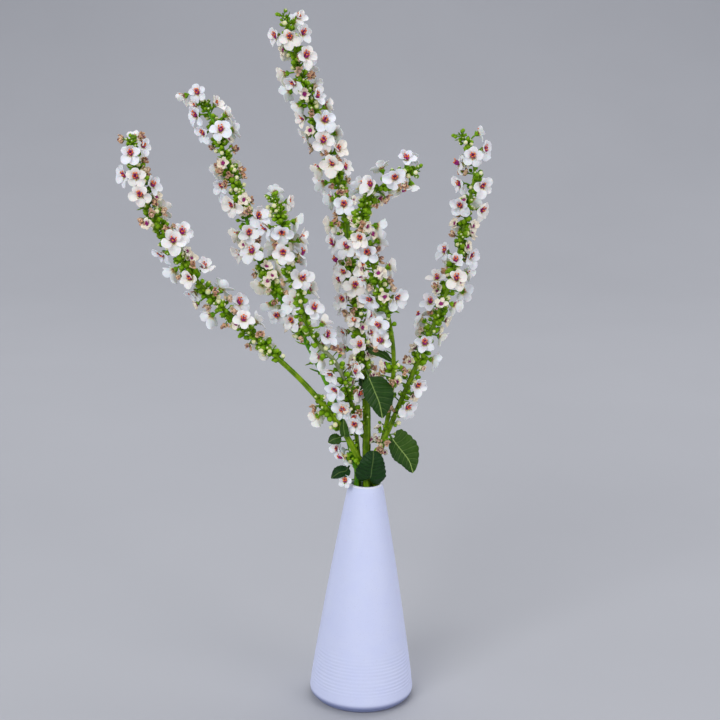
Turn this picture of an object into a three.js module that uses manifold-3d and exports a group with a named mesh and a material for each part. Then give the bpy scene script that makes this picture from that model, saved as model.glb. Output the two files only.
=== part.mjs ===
// White mullein in a bottle vase: six cut flower spikes, each with its stalklets, calyces, bracts, buds,
// open blooms and faded blooms grown together, a few crenate leaves, the water they stand in and the vase.
// Millimetres, +Z up, the origin at the middle of the vase's foot and +Y pointing away from the viewer.
import * as THREE from 'three';
import Module from 'manifold-3d';
import { mergeVertices } from 'three/addons/utils/BufferGeometryUtils.js';

const wasm = await Module();
wasm.setup();

// ---- Driving dimensions ---------------------------------------------------------------------------------
const vase = {
  height: 200,
  lipRadius: 14.8,
  widestRadius: 46.2,
  widestHeight: 9.6,
  footRadius: 39.8,
  bulge: 1.3, // how far the long side swells past a straight cone
  wall: 2.5,
  floor: 5,
  wallStart: 16, // the height from which the inside follows the outside
  sideHeights: [50, 100, 150], // where the swelling side has its rings
  sides: 32,
};
// gap: between the water and the floor. edgeGap: between the water and the wall.
const water = { level: 125, gap: 0.3, edgeGap: 0.9, middle: 70, holeClearance: 0.8, holeFoot: 1, sides: 20 };
const stemSides = 5;
const stepsPerSpan = 2; // tube rings between two points of a stem's path
const rowGap = 9; // along the stem, from one row of flowers to the next
const stemFoot = vase.floor + 0.5;

// Where the five places of a row stand round the stem, in degrees from the front towards the right, and how
// far a bloom there turns back towards the viewer.
const places = [
  { angle: -98, turn: 0.75 },
  { angle: -48, turn: 0.3 },
  { angle: 0, turn: 0 },
  { angle: 48, turn: 0.3 },
  { angle: 98, turn: 0.75 },
];
const backRowShift = 3; // the far side repeats the open blooms of the near side, from a row this far below
const sparse = { g: 3, b: 2, s: 2 }; // of the smallest growths only every second or third is a solid
const rowStart = 0.4; // of a rowGap, from the tip to the first row
const rowStray = 2; // how far along the stem a growth may stand off its row
const angleStray = 12; // degrees round the stem
const liftStray = 0.1;
const sizeSpread = [0.92, 1.06];
const reachSpread = [0.85, 1.15];
const heartOut = 2; // from the end of the reach to the heart
const youngShare = 0.85; // size of the blooms in the two top rows
const stalkRoot = 0.5; // radius of a stalklet where it leaves the stem's middle line
const calyxRadius = 1.2;
const knotBelly = { height: 0.6, radius: 1.15, tip: 1.9 }; // shares of a knot's radius
const bractFoot = { across: 1.1, through: 0.8 };
// A petal has a notch beside it and two corners, as angles from its middle and shares of the radius.
const petal = { notchAngle: 0.62, notch: 0.5, cornerAngle: 0.32, cupStray: 0.08, twist: 0.1 };
const witheredPoint = { notchAngle: 0.63, notch: 0.4, size: [0.8, 1.15], height: [0.6, 1.4] };
// How far the calyx lies behind the heart: at least least, and more for petals that are swept back.
const calyxDepth = { least: 2.2, share: 0.3, swept: 1.5 };
const elbowRoom = 0.84; // neighbours stand at least this share of their radii's sum apart
const elbowRounds = 10;

// What a letter in a row stands for. reach: length of the stalklet. cup: how deep the petals stand, as a
// share of the radius. lift: how much it points up the stem.
const kinds = {
  O: { form: 'bloom', radius: 9.9, reach: 8, cup: 0.2, lift: 0.15 },
  C: { form: 'bloom', radius: 8.2, reach: 8, cup: 0.62, lift: 0.35 },
  H: { form: 'bloom', radius: 9.2, reach: 8.5, cup: 0.34, lift: 0.05, away: 0.9 },
  T: { form: 'bloom', radius: 9.0, reach: 10, cup: -0.22, lift: 0.3, away: 0.5 },
  w: { form: 'star', radius: 5.4, reach: 6, cup: 0.5, lift: 0.3 },
  s: { form: 'knot', radius: 2.9, reach: 6.5, lift: 0.1 },
  b: { form: 'knot', radius: 2.1, reach: 4.5, lift: 0.5 },
  g: { form: 'knot', radius: 1.7, reach: 3.2, lift: 0.7 },
  v: { form: 'bract', radius: 1.5, reach: 5, length: 11, lift: 0.5 },
};

// A stem's path runs from its cut foot to its tip. Its rows run from the tip down, one for each rowGap, and
// name what grows at the left, left front, front, right front and right.
const stems = [
  {
    name: 'stem_far_left',
    seed: 11,
    radii: [2.9, 2.7, 1.9, 1.1],
    path: [[2, -20], [1, -12, 100], [0.5, -4.8, 200], [-11, -8, 232], [-27, -9, 258], [-55, -12, 292],
      [-90, -16, 326], [-136, -23, 371], [-166, -28, 413], [-188, -32, 457], [-196, -34, 500]],
    rows: 'sgg.s ..OgC ...bs O.Hbs .g.bs ..O.C v.gsw g.sbs bbg.g gg.ss ...OO Og.gb Hg.gb .s.sw s.C.O O..g. '
      + 'g..s. s..b. Hg..s ...sO b..Ow ...gH s..s. gg.gv b.b.v g.... ..... ..... ..... ..... ..... s..b. '
      + 'H.g.b g..g. b.... ..... ..... T.... g....',
  },
  {
    name: 'stem_left',
    seed: 23,
    radii: [2.4, 2.3, 1.9, 1.1],
    path: [[-21, -8], [-14, -5, 100], [-8, -3, 200], [-11, -2, 219], [-18, 0, 245], [-33, 7, 281],
      [-53, 15, 319], [-78, 24, 359], [-99, 32, 394], [-111, 38, 436], [-123, 42, 466], [-135, 48, 501],
      [-151, 52, 531]],
    rows: 'HgO.. C.b.g .O..C .O..H ..O.H s..gw b.b.s s..g. H.sbs Cs.bs Obb.b sO..s ..w.b ...O. H.O.. O..s. '
      + '..O.b ...gH sg.wg g.gw. bg.g. Hs.s. .O.O. ..H.s wg.gs bb..H v.... ..... v.... v.... ..... ..... '
      + '..... g.... ..... g.... ..... ..... g....',
  },
  {
    name: 'stem_short_left',
    seed: 37,
    radii: [1.9, 1.8, 1.8, 1.1],
    path: [[-17, 14], [-12, 10, 100], [-6, 5, 200], [-8, 3, 233], [-13, -4, 268], [-21, -12, 297],
      [-29, -17, 313], [-43, -22, 329], [-53, -27, 348], [-60, -34, 377], [-72, -42, 407], [-73, -48, 435],
      [-81, -52, 458]],
    rows: 'gg.gg b.b.C bg.gg O.O.H ...gH ..O.w gb.wT g..b. s..O. g.... ...bH g.... g...O v...H s..g. ....O '
      + '....s ....s ..... .C..s .O..C g..H. g..g. .O... ..O.. g..b. g....',
  },
  {
    name: 'stem_tall',
    seed: 53,
    radii: [3.9, 3.7, 2.6, 1.2],
    path: [[3, 12], [2, 7, 100], [1, 3.2, 200], [0, 2, 225], [-1, 3, 269], [-7, 6, 318], [-14, 9, 369],
      [-20, 12, 416], [-25, 14, 450], [-41, 16, 491], [-58, 17, 537], [-69, 18, 577], [-77, 18, 599]],
    rows: 'gg.g. g.b.C O.O.O g.g.. b..O. H.s.. .O.ss Hg..s H.bC. C.sbH g..O. O...s ..O.H ..s.C H.O.s g.b.C '
      + 'H.g.s Hgs.g ..O.w s.gg. Hs.w. w...s O.O.. ..s.b T..O. O...O ..O.s sw..H O.s.. ww.H. O..w. g.s.C '
      + 'H.C.s w..b. s...s ...sH Hg.g. ..... ..... ..... ..... ....w',
  },
  {
    name: 'stem_curled',
    seed: 71,
    radii: [2.3, 2.2, 1.8, 1.0],
    path: [[12, 21], [8, 15, 100], [5, 8, 200], [12, 9, 226], [20, 6, 272], [21, -11, 320], [12, -34, 370],
      [-1, -44, 407], [-9, -50, 432], [-5, -54, 453], [9, -60, 469], [24, -66, 480], [37, -70, 481]],
    rows: 'ggbgg C.bbH ..O.. H...T .O..s H...w gg.gg gg.gb .g.wH ..C.. ..H.H ....s ....s ...wH ss..s O.w.s '
      + 'g.gbO g..gv .T... w.... .T... ..... ..... ..... s...s ..sb. ..... .O...',
  },
  {
    name: 'stem_right',
    seed: 89,
    radii: [2.5, 2.4, 2.0, 1.1],
    path: [[23, -3], [16, -2, 100], [9, -1, 200], [12, 1, 228], [23, 3, 258], [37, 7, 293], [54, 12, 335],
      [68, 17, 374], [77, 22, 408], [82, 26, 438], [87, 29, 470], [81, 30, 492], [72, 30, 503]],
    rows: 'gg.gg g.b.H ..O.O T..g. s..b. O..O. ..g.. .O..O g.g.. w..wg s.g.w g.g.g O...O b.C.H s.O.s C...H '
      + 'w...H C.w.. s..gw T...g g...C ..C.. w.g.H sb..g s.... ...C. ....w ...O. g.... ..... ..... ..s.. '
      + '..s..',
  },
];

const leafThickness = 0.7;
const leafGap = 0.5; // between a leaf's stalk and the stem it hangs on
const leafStalkHalf = 0.8;
const ribSteps = 6;
const bigLeafWidth = 15; // from here on a blade has five columns and not three
const toothDepth = 0.06; // of the crenate edge, as a share of the half width

// A leaf's midrib starts on a stem, at a distance from the stem's foot and an angle round it, and runs on
// through its points. stalk: the share of it before the blade. fold: how far the halves rise, or if
// negative fall back, from the midrib.
const leaves = [
  {
    name: 'leaf_front', stem: 'stem_tall', at: 302, angle: 8, stalk: 0.3, width: 25, fold: -0.2, steps: 14,
    facing: [0.15, -1, 0.3], midrib: [[3, -14, 293], [6, -19, 287], [10, -22, 278], [13, -22, 265]],
  },
  {
    name: 'leaf_right', stem: 'stem_right', at: 241, angle: 55, stalk: 0.12, width: 25, fold: -0.15,
    steps: 14, facing: [0.35, -1, 0.5],
    midrib: [[22, -2, 241], [29, -5, 233], [37, -7, 223], [41, -7, 212]],
  },
  {
    name: 'leaf_mouth', stem: 'stem_far_left', at: 203, angle: 35, stalk: 0.12, width: 24, fold: -0.42,
    steps: 12, facing: [0.1, -1, 0.15],
    midrib: [[4, -12.5, 209], [5, -15.5, 218], [6, -16, 226], [6, -13, 233]],
  },
  {
    name: 'leaf_fold', stem: 'stem_far_left', at: 252, angle: -10, stalk: 0.2, width: 8, fold: 0.3, steps: 8,
    facing: [0.3, -1, 0.2], midrib: [[-19, -16, 247], [-20, -17, 254], [-20, -17, 262]],
  },
  {
    name: 'leaf_round', stem: 'stem_far_left', at: 246, angle: -60, stalk: 0.2, width: 10, fold: -0.2,
    steps: 8, facing: [-0.1, -1, 0.6], midrib: [[-25, -14, 244], [-29, -15, 243], [-33, -15, 240]],
  },
  {
    name: 'leaf_lip', stem: 'stem_left', at: 216, angle: -50, stalk: 0.25, width: 12, fold: 0.2, steps: 8,
    facing: [-0.3, -1, 0.7], midrib: [[-17, -8, 213], [-23, -11, 212], [-30, -12, 207]],
  },
  {
    name: 'leaf_dark', stem: 'stem_tall', at: 297, angle: -30, stalk: 0.2, width: 6, fold: 0.25, steps: 8,
    facing: [-0.3, -1, 0.2], midrib: [[-5, -1, 294], [-4, -3, 288], [-3, -4, 280]],
  },
  {
    name: 'leaf_narrow', stem: 'stem_tall', at: 317, angle: 60, stalk: 0.2, width: 8, fold: 0.25, steps: 8,
    facing: [0.1, -1, 0.6], midrib: [[2, -2, 319], [11, -2, 317], [21, -1, 309]],
  },
];

// ---- Small helpers --------------------------------------------------------------------------------------
const vector = (x, y, z) => new THREE.Vector3(x, y, z);
const frontward = vector(0, -1, 0);

// A seeded stream of even draws between two values.
function drawsFrom(seed) {
  let state = seed;
  return (low, high) => {
    state = (Math.imul(state, 1664525) + 1013904223) >>> 0;
    return low + ((high - low) * state) / 2 ** 32;
  };
}

// Vertices and triangles as a geometry.
function geometryOf(vertices, triangles) {
  const geometry = new THREE.BufferGeometry();
  const coordinates = vertices.flatMap((v) => v.toArray());
  geometry.setAttribute('position', new THREE.Float32BufferAttribute(coordinates, 3));
  geometry.setIndex(triangles.flat());
  return geometry;
}

// A closed geometry as a solid that can be joined and cut.
function solidOf(geometry) {
  geometry.deleteAttribute('normal');
  geometry.deleteAttribute('uv');
  const merged = mergeVertices(geometry, 1e-4);
  return new wasm.Manifold(new wasm.Mesh({
    numProp: 3,
    vertProperties: new Float32Array(merged.attributes.position.array),
    triVerts: new Uint32Array(merged.index.array),
  }));
}

// A solid back as a geometry: its largest body, without the cavities and scraps that joining can leave.
function geometryFrom(solid) {
  const bodies = solid.decompose().sort((a, b) => b.volume() - a.volume());
  const mesh = bodies[0].getMesh();
  const geometry = new THREE.BufferGeometry();
  geometry.setAttribute('position', new THREE.BufferAttribute(new Float32Array(mesh.vertProperties), 3));
  geometry.setIndex(new THREE.BufferAttribute(new Uint32Array(mesh.triVerts), 1));
  geometry.computeVertexNormals();
  return geometry;
}

// Faces between two rings of equally many vertices, given by their first index.
function band(from, to, count) {
  const faces = [];
  for (let i = 0; i < count; i++) {
    const j = (i + 1) % count;
    faces.push([from + i, from + j, to + j], [from + i, to + j, to + i]);
  }
  return faces;
}

// A fan over a convex ring.
function fan(first, count, flip) {
  const faces = [];
  for (let i = 1; i < count - 1; i++) {
    faces.push(flip ? [first, first + i + 1, first + i] : [first, first + i, first + i + 1]);
  }
  return faces;
}

// ---- The stem's line ------------------------------------------------------------------------------------
// A smooth line through the path's points, with the distance from the foot at each sample.
function lineOf(path, steps) {
  const points = path.map(([x, y, z]) => vector(x, y, z ?? stemFoot));
  const line = [];
  for (let i = 0; i < points.length - 1; i++) {
    const [b, c] = [points[i], points[i + 1]];
    const a = points[i - 1] ?? b.clone().multiplyScalar(2).sub(c);
    const d = points[i + 2] ?? c.clone().multiplyScalar(2).sub(b);
    for (let k = 0; k < steps; k++) {
      const t = k / steps;
      line.push(vector(0, 0, 0)
        .addScaledVector(a, (-t + 2 * t * t - t * t * t) / 2)
        .addScaledVector(b, (2 - 5 * t * t + 3 * t * t * t) / 2)
        .addScaledVector(c, (t + 4 * t * t - 3 * t * t * t) / 2)
        .addScaledVector(d, (-t * t + t * t * t) / 2));
    }
  }
  line.push(points[points.length - 1]);
  const along = [0];
  for (let i = 1; i < line.length; i++) along.push(along[i - 1] + line[i].distanceTo(line[i - 1]));
  return { line, along, length: along[along.length - 1] };
}

// The point at a distance from the foot, with the directions up the stem, to the front and to the right.
function frameAt({ line, along, length }, distance) {
  const s = Math.min(Math.max(distance, 0), length);
  let i = 1;
  while (i < along.length - 1 && along[i] < s) i++;
  const share = (s - along[i - 1]) / (along[i] - along[i - 1]);
  const point = line[i - 1].clone().lerp(line[i], share);
  const up = line[i].clone().sub(line[i - 1]).normalize();
  const front = frontward.clone().addScaledVector(up, -frontward.dot(up)).normalize();
  const right = up.clone().cross(front);
  return { point, up, front, right };
}

// The stem's radius at a share of its length, from its values at the foot, a third, two thirds and the tip.
function radiusAt(radii, share) {
  const place = Math.min(share, 1) * (radii.length - 1);
  const i = Math.min(Math.floor(place), radii.length - 2);
  return radii[i] + (radii[i + 1] - radii[i]) * (place - i);
}

// A round tube along the line, swollen by extra.
function tubeOf(stem, extra, sides) {
  const course = lineOf(stem.path, stepsPerSpan);
  const vertices = [];
  course.along.forEach((distance) => {
    const { point, front, right } = frameAt(course, distance);
    const radius = radiusAt(stem.radii, distance / course.length) + extra;
    for (let k = 0; k < sides; k++) {
      const turn = (2 * Math.PI * k) / sides;
      vertices.push(point.clone()
        .addScaledVector(right, radius * Math.cos(turn))
        .addScaledVector(front, -radius * Math.sin(turn)));
    }
  });
  const rings = course.along.length;
  const faces = fan(0, sides, true).concat(fan((rings - 1) * sides, sides, false));
  for (let i = 0; i < rings - 1; i++) faces.push(...band(i * sides, (i + 1) * sides, sides));
  return geometryOf(vertices, faces);
}

// ---- What grows on a stem -------------------------------------------------------------------------------
// Two directions square to an axis.
function squareTo(axis, roll) {
  const helper = Math.abs(axis.z) < 0.9 ? vector(0, 0, 1) : vector(1, 0, 0);
  const u = helper.cross(axis).normalize().applyAxisAngle(axis, roll);
  return [u, axis.clone().cross(u)];
}

// A funnel on a stalklet from root to heart: the petals' outline, given as [angle, radius, height] round the
// axis, a hollow top and an underside that draws in to the calyx.
function funnelOf({ root, heart, axis, outline, depth, roll }) {
  const [u, v] = squareTo(axis, roll);
  const at = (turn, radius, height) => heart.clone()
    .addScaledVector(u, radius * Math.cos(turn))
    .addScaledVector(v, radius * Math.sin(turn))
    .addScaledVector(axis, height);
  const rim = outline.map(([turn, radius, height]) => at(turn, radius, height));
  const calyx = [0, 1, 2].map((k) => at((2 * Math.PI * k) / 3, calyxRadius, -depth));
  const foot = [0, 1, 2].map((k) => at((2 * Math.PI * k) / 3, stalkRoot, 0).sub(heart).add(root));
  const count = rim.length;
  const vertices = [heart.clone(), ...rim, ...calyx, ...foot];
  const faces = [];
  const nearest = (i) => Math.round((3 * outline[i % count][0]) / (2 * Math.PI) + 3) % 3;
  for (let i = 0; i < count; i++) {
    const j = (i + 1) % count;
    faces.push([0, 1 + i, 1 + j]);
    const [p, q] = [1 + count + nearest(i), 1 + count + nearest(j)];
    faces.push([1 + j, 1 + i, p]);
    if (p !== q) faces.push([1 + j, p, q]);
  }
  faces.push(...band(1 + count + 3, 1 + count, 3), ...fan(1 + count + 3, 3, true));
  return geometryOf(vertices, faces);
}

// Five broad petals. A negative cup sweeps them back.
function bloomOutline(radius, cup, draw) {
  const outline = [];
  for (let number = 0; number < 5; number++) {
    const middle = (2 * Math.PI * number) / 5;
    const size = radius * draw(...sizeSpread);
    const height = radius * (cup + draw(-petal.cupStray, petal.cupStray));
    const twist = radius * draw(-petal.twist, petal.twist);
    outline.push([middle - petal.notchAngle, radius * petal.notch, radius * cup * petal.notch]);
    outline.push([middle - petal.cornerAngle, size, height]);
    outline.push([middle + petal.cornerAngle, size, height + twist]);
  }
  return outline;
}

// Five withered points.
function starOutline(radius, cup, draw) {
  const { notchAngle, notch, size, height } = witheredPoint;
  const outline = [];
  for (let number = 0; number < 5; number++) {
    const middle = (2 * Math.PI * number) / 5;
    outline.push([middle - notchAngle, radius * notch, radius * cup * notch]);
    outline.push([middle, radius * draw(...size), radius * cup * draw(...height)]);
  }
  return outline;
}

// A bud, a calyx or a crumpled faded bloom: a three-sided stalklet that swells to a knot and closes.
function knotOf(root, heart, axis, radius, roll) {
  const [u, v] = squareTo(axis, roll);
  const ring = (centre, size) => [0, 1, 2].map((k) => centre.clone()
    .addScaledVector(u, size * Math.cos((2 * Math.PI * k) / 3))
    .addScaledVector(v, size * Math.sin((2 * Math.PI * k) / 3)));
  const belly = heart.clone().addScaledVector(axis, radius * knotBelly.height);
  const tip = heart.clone().addScaledVector(axis, radius * knotBelly.tip);
  const vertices = [...ring(root, stalkRoot), ...ring(belly, radius * knotBelly.radius), tip];
  const faces = fan(0, 3, true).concat(band(0, 3, 3));
  faces.push([3, 4, 6], [4, 5, 6], [5, 3, 6]);
  return geometryOf(vertices, faces);
}

// A slender three-sided bract.
function bractOf(root, tip, roll) {
  const axis = tip.clone().sub(root).normalize();
  const [u, v] = squareTo(axis, roll);
  const ring = [0, 1, 2].map((k) => root.clone()
    .addScaledVector(u, bractFoot.across * Math.cos((2 * Math.PI * k) / 3))
    .addScaledVector(v, bractFoot.through * Math.sin((2 * Math.PI * k) / 3)));
  return geometryOf([...ring, tip], [[0, 2, 1], [0, 1, 3], [1, 2, 3], [2, 0, 3]]);
}

// The letters of a stem as a list of what stands where, the far side included.
function growthsOf(stem) {
  const rows = stem.rows.split(' ');
  const growths = [];
  rows.forEach((row, index) => {
    [...row].forEach((letter, place) => {
      const skipped = sparse[letter] && (index + place) % sparse[letter] !== 0;
      if (letter !== '.' && !skipped) growths.push({ letter, index, ...places[place] });
    });
    const below = rows[index + backRowShift] ?? '.....';
    [1, 2, 3].forEach((place) => {
      const letter = below[place];
      if ('OCHT'.includes(letter) && (index + place) % 2 === 0) {
        growths.push({ letter, index, angle: 180 - places[place].angle, turn: 0 });
      }
    });
  });
  return growths;
}

// Where one growth stands: its root on the stem's middle line, its heart and the way it faces.
function placed(growth, course, draw) {
  const kind = kinds[growth.letter];
  const distance = course.length - (growth.index + rowStart) * rowGap - draw(-rowStray, rowStray);
  const { point, up, front, right } = frameAt(course, distance);
  const angle = THREE.MathUtils.degToRad(growth.angle + draw(-angleStray, angleStray));
  const outward = front.clone().multiplyScalar(Math.cos(angle)).addScaledVector(right, Math.sin(angle));
  const way = outward.addScaledVector(up, kind.lift + draw(-liftStray, liftStray)).normalize();
  const turn = growth.turn * (kind.away ? -kind.away * 0.5 : 1);
  const young = growth.index < 2 && kind.form === 'bloom' ? youngShare : 1;
  return {
    kind,
    root: point,
    heart: point.clone().addScaledVector(way, kind.reach * draw(...reachSpread) + heartOut),
    axis: way.clone().addScaledVector(front, turn).normalize(),
    radius: kind.radius * young * draw(...sizeSpread),
    roll: draw(0, 2 * Math.PI),
  };
}

// Neighbours press each other apart until each has some room.
function spreadOut(growths) {
  for (let round = 0; round < elbowRounds; round++) {
    growths.forEach((a, i) => growths.slice(i + 1).forEach((b) => {
      const between = b.heart.clone().sub(a.heart);
      const lack = elbowRoom * (a.radius + b.radius) - between.length();
      if (lack <= 0) return;
      between.setLength(lack / 2);
      const share = (2 * b.radius) / (a.radius + b.radius);
      a.heart.addScaledVector(between, -share);
      b.heart.addScaledVector(between, 2 - share);
    }));
  }
}

function growthGeometry({ kind, root, heart, axis, radius, roll }, draw) {
  if (kind.form === 'bract') {
    return bractOf(root, root.clone().addScaledVector(axis, kind.length), roll);
  }
  if (kind.form === 'knot') return knotOf(root, heart, axis, radius, roll);
  const outlineOf = kind.form === 'bloom' ? bloomOutline : starOutline;
  const { least, share, swept } = calyxDepth;
  const depth = Math.max(least, radius * (share - Math.min(kind.cup, 0) * swept));
  return funnelOf({ root, heart, axis, outline: outlineOf(radius, kind.cup, draw), depth, roll });
}

// A stem with all that grows on it, as one body.
function stemGeometry(stem) {
  const course = lineOf(stem.path, stepsPerSpan);
  const draw = drawsFrom(stem.seed);
  const pieces = [solidOf(tubeOf(stem, 0, stemSides))];
  const growths = growthsOf(stem).map((growth) => placed(growth, course, draw));
  spreadOut(growths);
  growths.forEach((growth) => pieces.push(solidOf(growthGeometry(growth, draw))));
  return geometryFrom(wasm.Manifold.union(pieces));
}

// ---- Leaves ---------------------------------------------------------------------------------------------
// A blade as one closed body: the same net of points on both faces, leafThickness apart, with a crenate edge
// made by wider and narrower steps.
function leafGeometry(leaf) {
  const stem = stems.find(({ name }) => name === leaf.stem);
  const course = lineOf(stem.path, stepsPerSpan);
  const { point, front, right } = frameAt(course, leaf.at);
  const angle = THREE.MathUtils.degToRad(leaf.angle);
  const clear = radiusAt(stem.radii, leaf.at / course.length) + leafGap;
  const start = point.clone()
    .addScaledVector(front, clear * Math.cos(angle))
    .addScaledVector(right, clear * Math.sin(angle));
  const rib = lineOf([start.toArray(), ...leaf.midrib], ribSteps);
  const facing = vector(...leaf.facing);
  const columns = leaf.width < bigLeafWidth ? [-1, 0, 1] : [-1, -0.5, 0, 0.5, 1];
  const vertices = [[], []];
  for (let step = 0; step <= leaf.steps; step++) {
    const share = step / leaf.steps;
    const { point: middle, up: along } = frameAt(rib, share * rib.length);
    const side = facing.clone().cross(along).normalize();
    const normal = along.clone().cross(side);
    const open = Math.max(0, (share - leaf.stalk) / (1 - leaf.stalk));
    const tooth = 1 + toothDepth * (step % 2 ? 1 : -1);
    const opened = Math.sin(Math.PI * open ** 0.85) ** 0.75; // widest a little above the blade's middle
    const half = Math.max(leafStalkHalf, (leaf.width / 2) * opened * tooth);
    columns.forEach((column) => {
      const rise = leaf.fold * half * Math.abs(column) ** 1.5;
      const place = middle.clone().addScaledVector(side, column * half).addScaledVector(normal, rise);
      [-1, 1].forEach((face, layer) => {
        vertices[layer].push(place.clone().addScaledVector(normal, (face * leafThickness) / 2));
      });
    });
  }
  const across = columns.length;
  const layerSize = vertices[0].length;
  const faces = [];
  const wall = (a, b) => faces.push([a, b, b + layerSize], [a, b + layerSize, a + layerSize]);
  for (let step = 0; step < leaf.steps; step++) {
    for (let k = 0; k < across - 1; k++) {
      const [a, b] = [step * across + k, step * across + k + 1];
      const [c, d] = [a + across, b + across];
      const [e, f, g, h] = [a, b, c, d].map((corner) => corner + layerSize);
      faces.push([a, b, d], [a, d, c], [e, h, f], [e, g, h]);
    }
    wall(step * across, (step + 1) * across);
    wall((step + 2) * across - 1, (step + 1) * across - 1);
  }
  for (let k = 0; k < across - 1; k++) {
    wall(k + 1, k);
    wall(leaf.steps * across + k, leaf.steps * across + k + 1);
  }
  return geometryOf(vertices.flat(), faces);
}

// ---- Vase and water -------------------------------------------------------------------------------------
// The outside radius of the vase at a height above its widest point.
function outsideRadius(height) {
  const t = (height - vase.widestHeight) / (vase.height - vase.widestHeight);
  return vase.widestRadius + (vase.lipRadius - vase.widestRadius) * t + vase.bulge * 4 * t * (1 - t);
}

// A body turned round the vertical axis from [radius, height] points, from the axis round to the axis.
function turned(profile, sides) {
  const points = profile.map(([radius, height]) => new THREE.Vector2(radius, height));
  return new THREE.LatheGeometry(points, sides).rotateX(Math.PI / 2);
}

function vaseGeometry() {
  const { height, widestRadius, widestHeight, footRadius, wall, floor } = vase;
  const profile = [[0, 0], [footRadius, 0]];
  for (const angle of [30, 60, 90]) { // the domed edge of the foot
    const a = THREE.MathUtils.degToRad(angle);
    const radius = footRadius + (widestRadius - footRadius) * Math.sin(a);
    profile.push([radius, widestHeight * (1 - Math.cos(a))]);
  }
  vase.sideHeights.forEach((z) => profile.push([outsideRadius(z), z]));
  const lip = wall / 2;
  const lipMiddle = [outsideRadius(height) - lip, height - lip];
  for (const angle of [0, 45, 90, 135, 180]) { // the rounded lip
    const a = THREE.MathUtils.degToRad(angle);
    profile.push([lipMiddle[0] + lip * Math.cos(a), lipMiddle[1] + lip * Math.sin(a)]);
  }
  [...vase.sideHeights].reverse().forEach((z) => profile.push([outsideRadius(z) - wall, z]));
  profile.push([outsideRadius(vase.wallStart) - wall, vase.wallStart]);
  profile.push([footRadius - wall, floor], [0, floor]);
  return turned(profile, vase.sides);
}

function waterGeometry() {
  const { level, gap, edgeGap, middle, holeClearance, sides } = water;
  const base = vase.floor + gap;
  const profile = [[0, base], [vase.footRadius - vase.wall - 1, base]];
  for (const z of [vase.wallStart, middle, level]) {
    profile.push([outsideRadius(z) - vase.wall - edgeGap, z]);
  }
  profile.push([0, level]);
  let body = solidOf(turned(profile, sides));
  stems.forEach((stem) => {
    body = body.subtract(solidOf(holeOf(stem, holeClearance)));
  });
  return geometryFrom(body);
}

// A plain hole for a stem, from below the water to above it.
function holeOf(stem, clearance) {
  const [foot, ...rest] = stem.path;
  return tubeOf({ ...stem, path: [[foot[0], foot[1], water.holeFoot], ...rest] }, clearance, stemSides);
}

// ---- The object -----------------------------------------------------------------------------------------
const group = new THREE.Group();

function addNode(name, geometry, colour, roughness) {
  const material = new THREE.MeshStandardMaterial({ color: colour, roughness, metalness: 0 });
  const mesh = new THREE.Mesh(geometry, material);
  mesh.name = name;
  group.add(mesh);
}

addNode('vase', vaseGeometry(), '#dcdbe8', 0.55);
addNode('water', waterGeometry(), '#cfe0e4', 0.1);
stems.forEach((stem) => addNode(stem.name, stemGeometry(stem), '#cfd6b0', 0.7));
leaves.forEach((leaf) => addNode(leaf.name, leafGeometry(leaf), '#2f5a24', 0.6));

export default group;
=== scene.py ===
"""The finished looks of white mullein in a bottle vase: fine petals, woolly stamens, calyces, buds and faded
blooms in place of the plain ones, ribbed and hairy stems, veined crenate leaves and a thrown vase.

Lengths are millimetres until a mesh is made, which is in metres. +Z is up, the origin is the middle of the
vase's foot and +Y points away from the viewer."""
import math

import bpy
import numpy as np
from mathutils import Matrix, Vector


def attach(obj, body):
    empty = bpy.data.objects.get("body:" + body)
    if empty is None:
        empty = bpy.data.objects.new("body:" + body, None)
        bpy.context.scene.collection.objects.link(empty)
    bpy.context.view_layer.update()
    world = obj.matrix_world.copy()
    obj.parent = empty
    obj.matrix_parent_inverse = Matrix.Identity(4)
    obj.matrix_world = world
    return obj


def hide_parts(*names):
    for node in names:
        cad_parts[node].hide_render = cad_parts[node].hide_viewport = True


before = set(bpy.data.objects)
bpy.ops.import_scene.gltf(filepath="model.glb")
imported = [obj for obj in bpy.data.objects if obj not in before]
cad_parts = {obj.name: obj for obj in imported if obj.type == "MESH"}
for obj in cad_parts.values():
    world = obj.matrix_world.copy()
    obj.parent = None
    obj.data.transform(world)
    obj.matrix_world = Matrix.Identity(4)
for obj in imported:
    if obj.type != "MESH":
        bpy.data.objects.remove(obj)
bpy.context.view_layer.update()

MM = 0.001

# ---- Camera ----
CAMERA_AT = (-7.2, -1251.0, 616.0)
CAMERA_PITCH = math.radians(13.74)  # looking down
CAMERA_ROLL = math.radians(1.2)
LENS, SENSOR = 50.0, 24.0


def make_camera():
    data = bpy.data.cameras.new("camera")
    data.lens, data.sensor_width = LENS, SENSOR
    camera = bpy.data.objects.new("camera", data)
    bpy.context.scene.collection.objects.link(camera)
    ahead = Vector((0, math.cos(CAMERA_PITCH), -math.sin(CAMERA_PITCH)))
    above = Vector((0, math.sin(CAMERA_PITCH), math.cos(CAMERA_PITCH)))
    right = Vector((1, 0, 0))
    tilted_right = right * math.cos(CAMERA_ROLL) + above * math.sin(CAMERA_ROLL)
    tilted_up = above * math.cos(CAMERA_ROLL) - right * math.sin(CAMERA_ROLL)
    turn = Matrix((tilted_right, tilted_up, -ahead)).transposed().to_4x4()
    camera.matrix_world = Matrix.Translation(Vector(CAMERA_AT) * MM) @ turn
    bpy.context.scene.camera = camera


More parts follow.
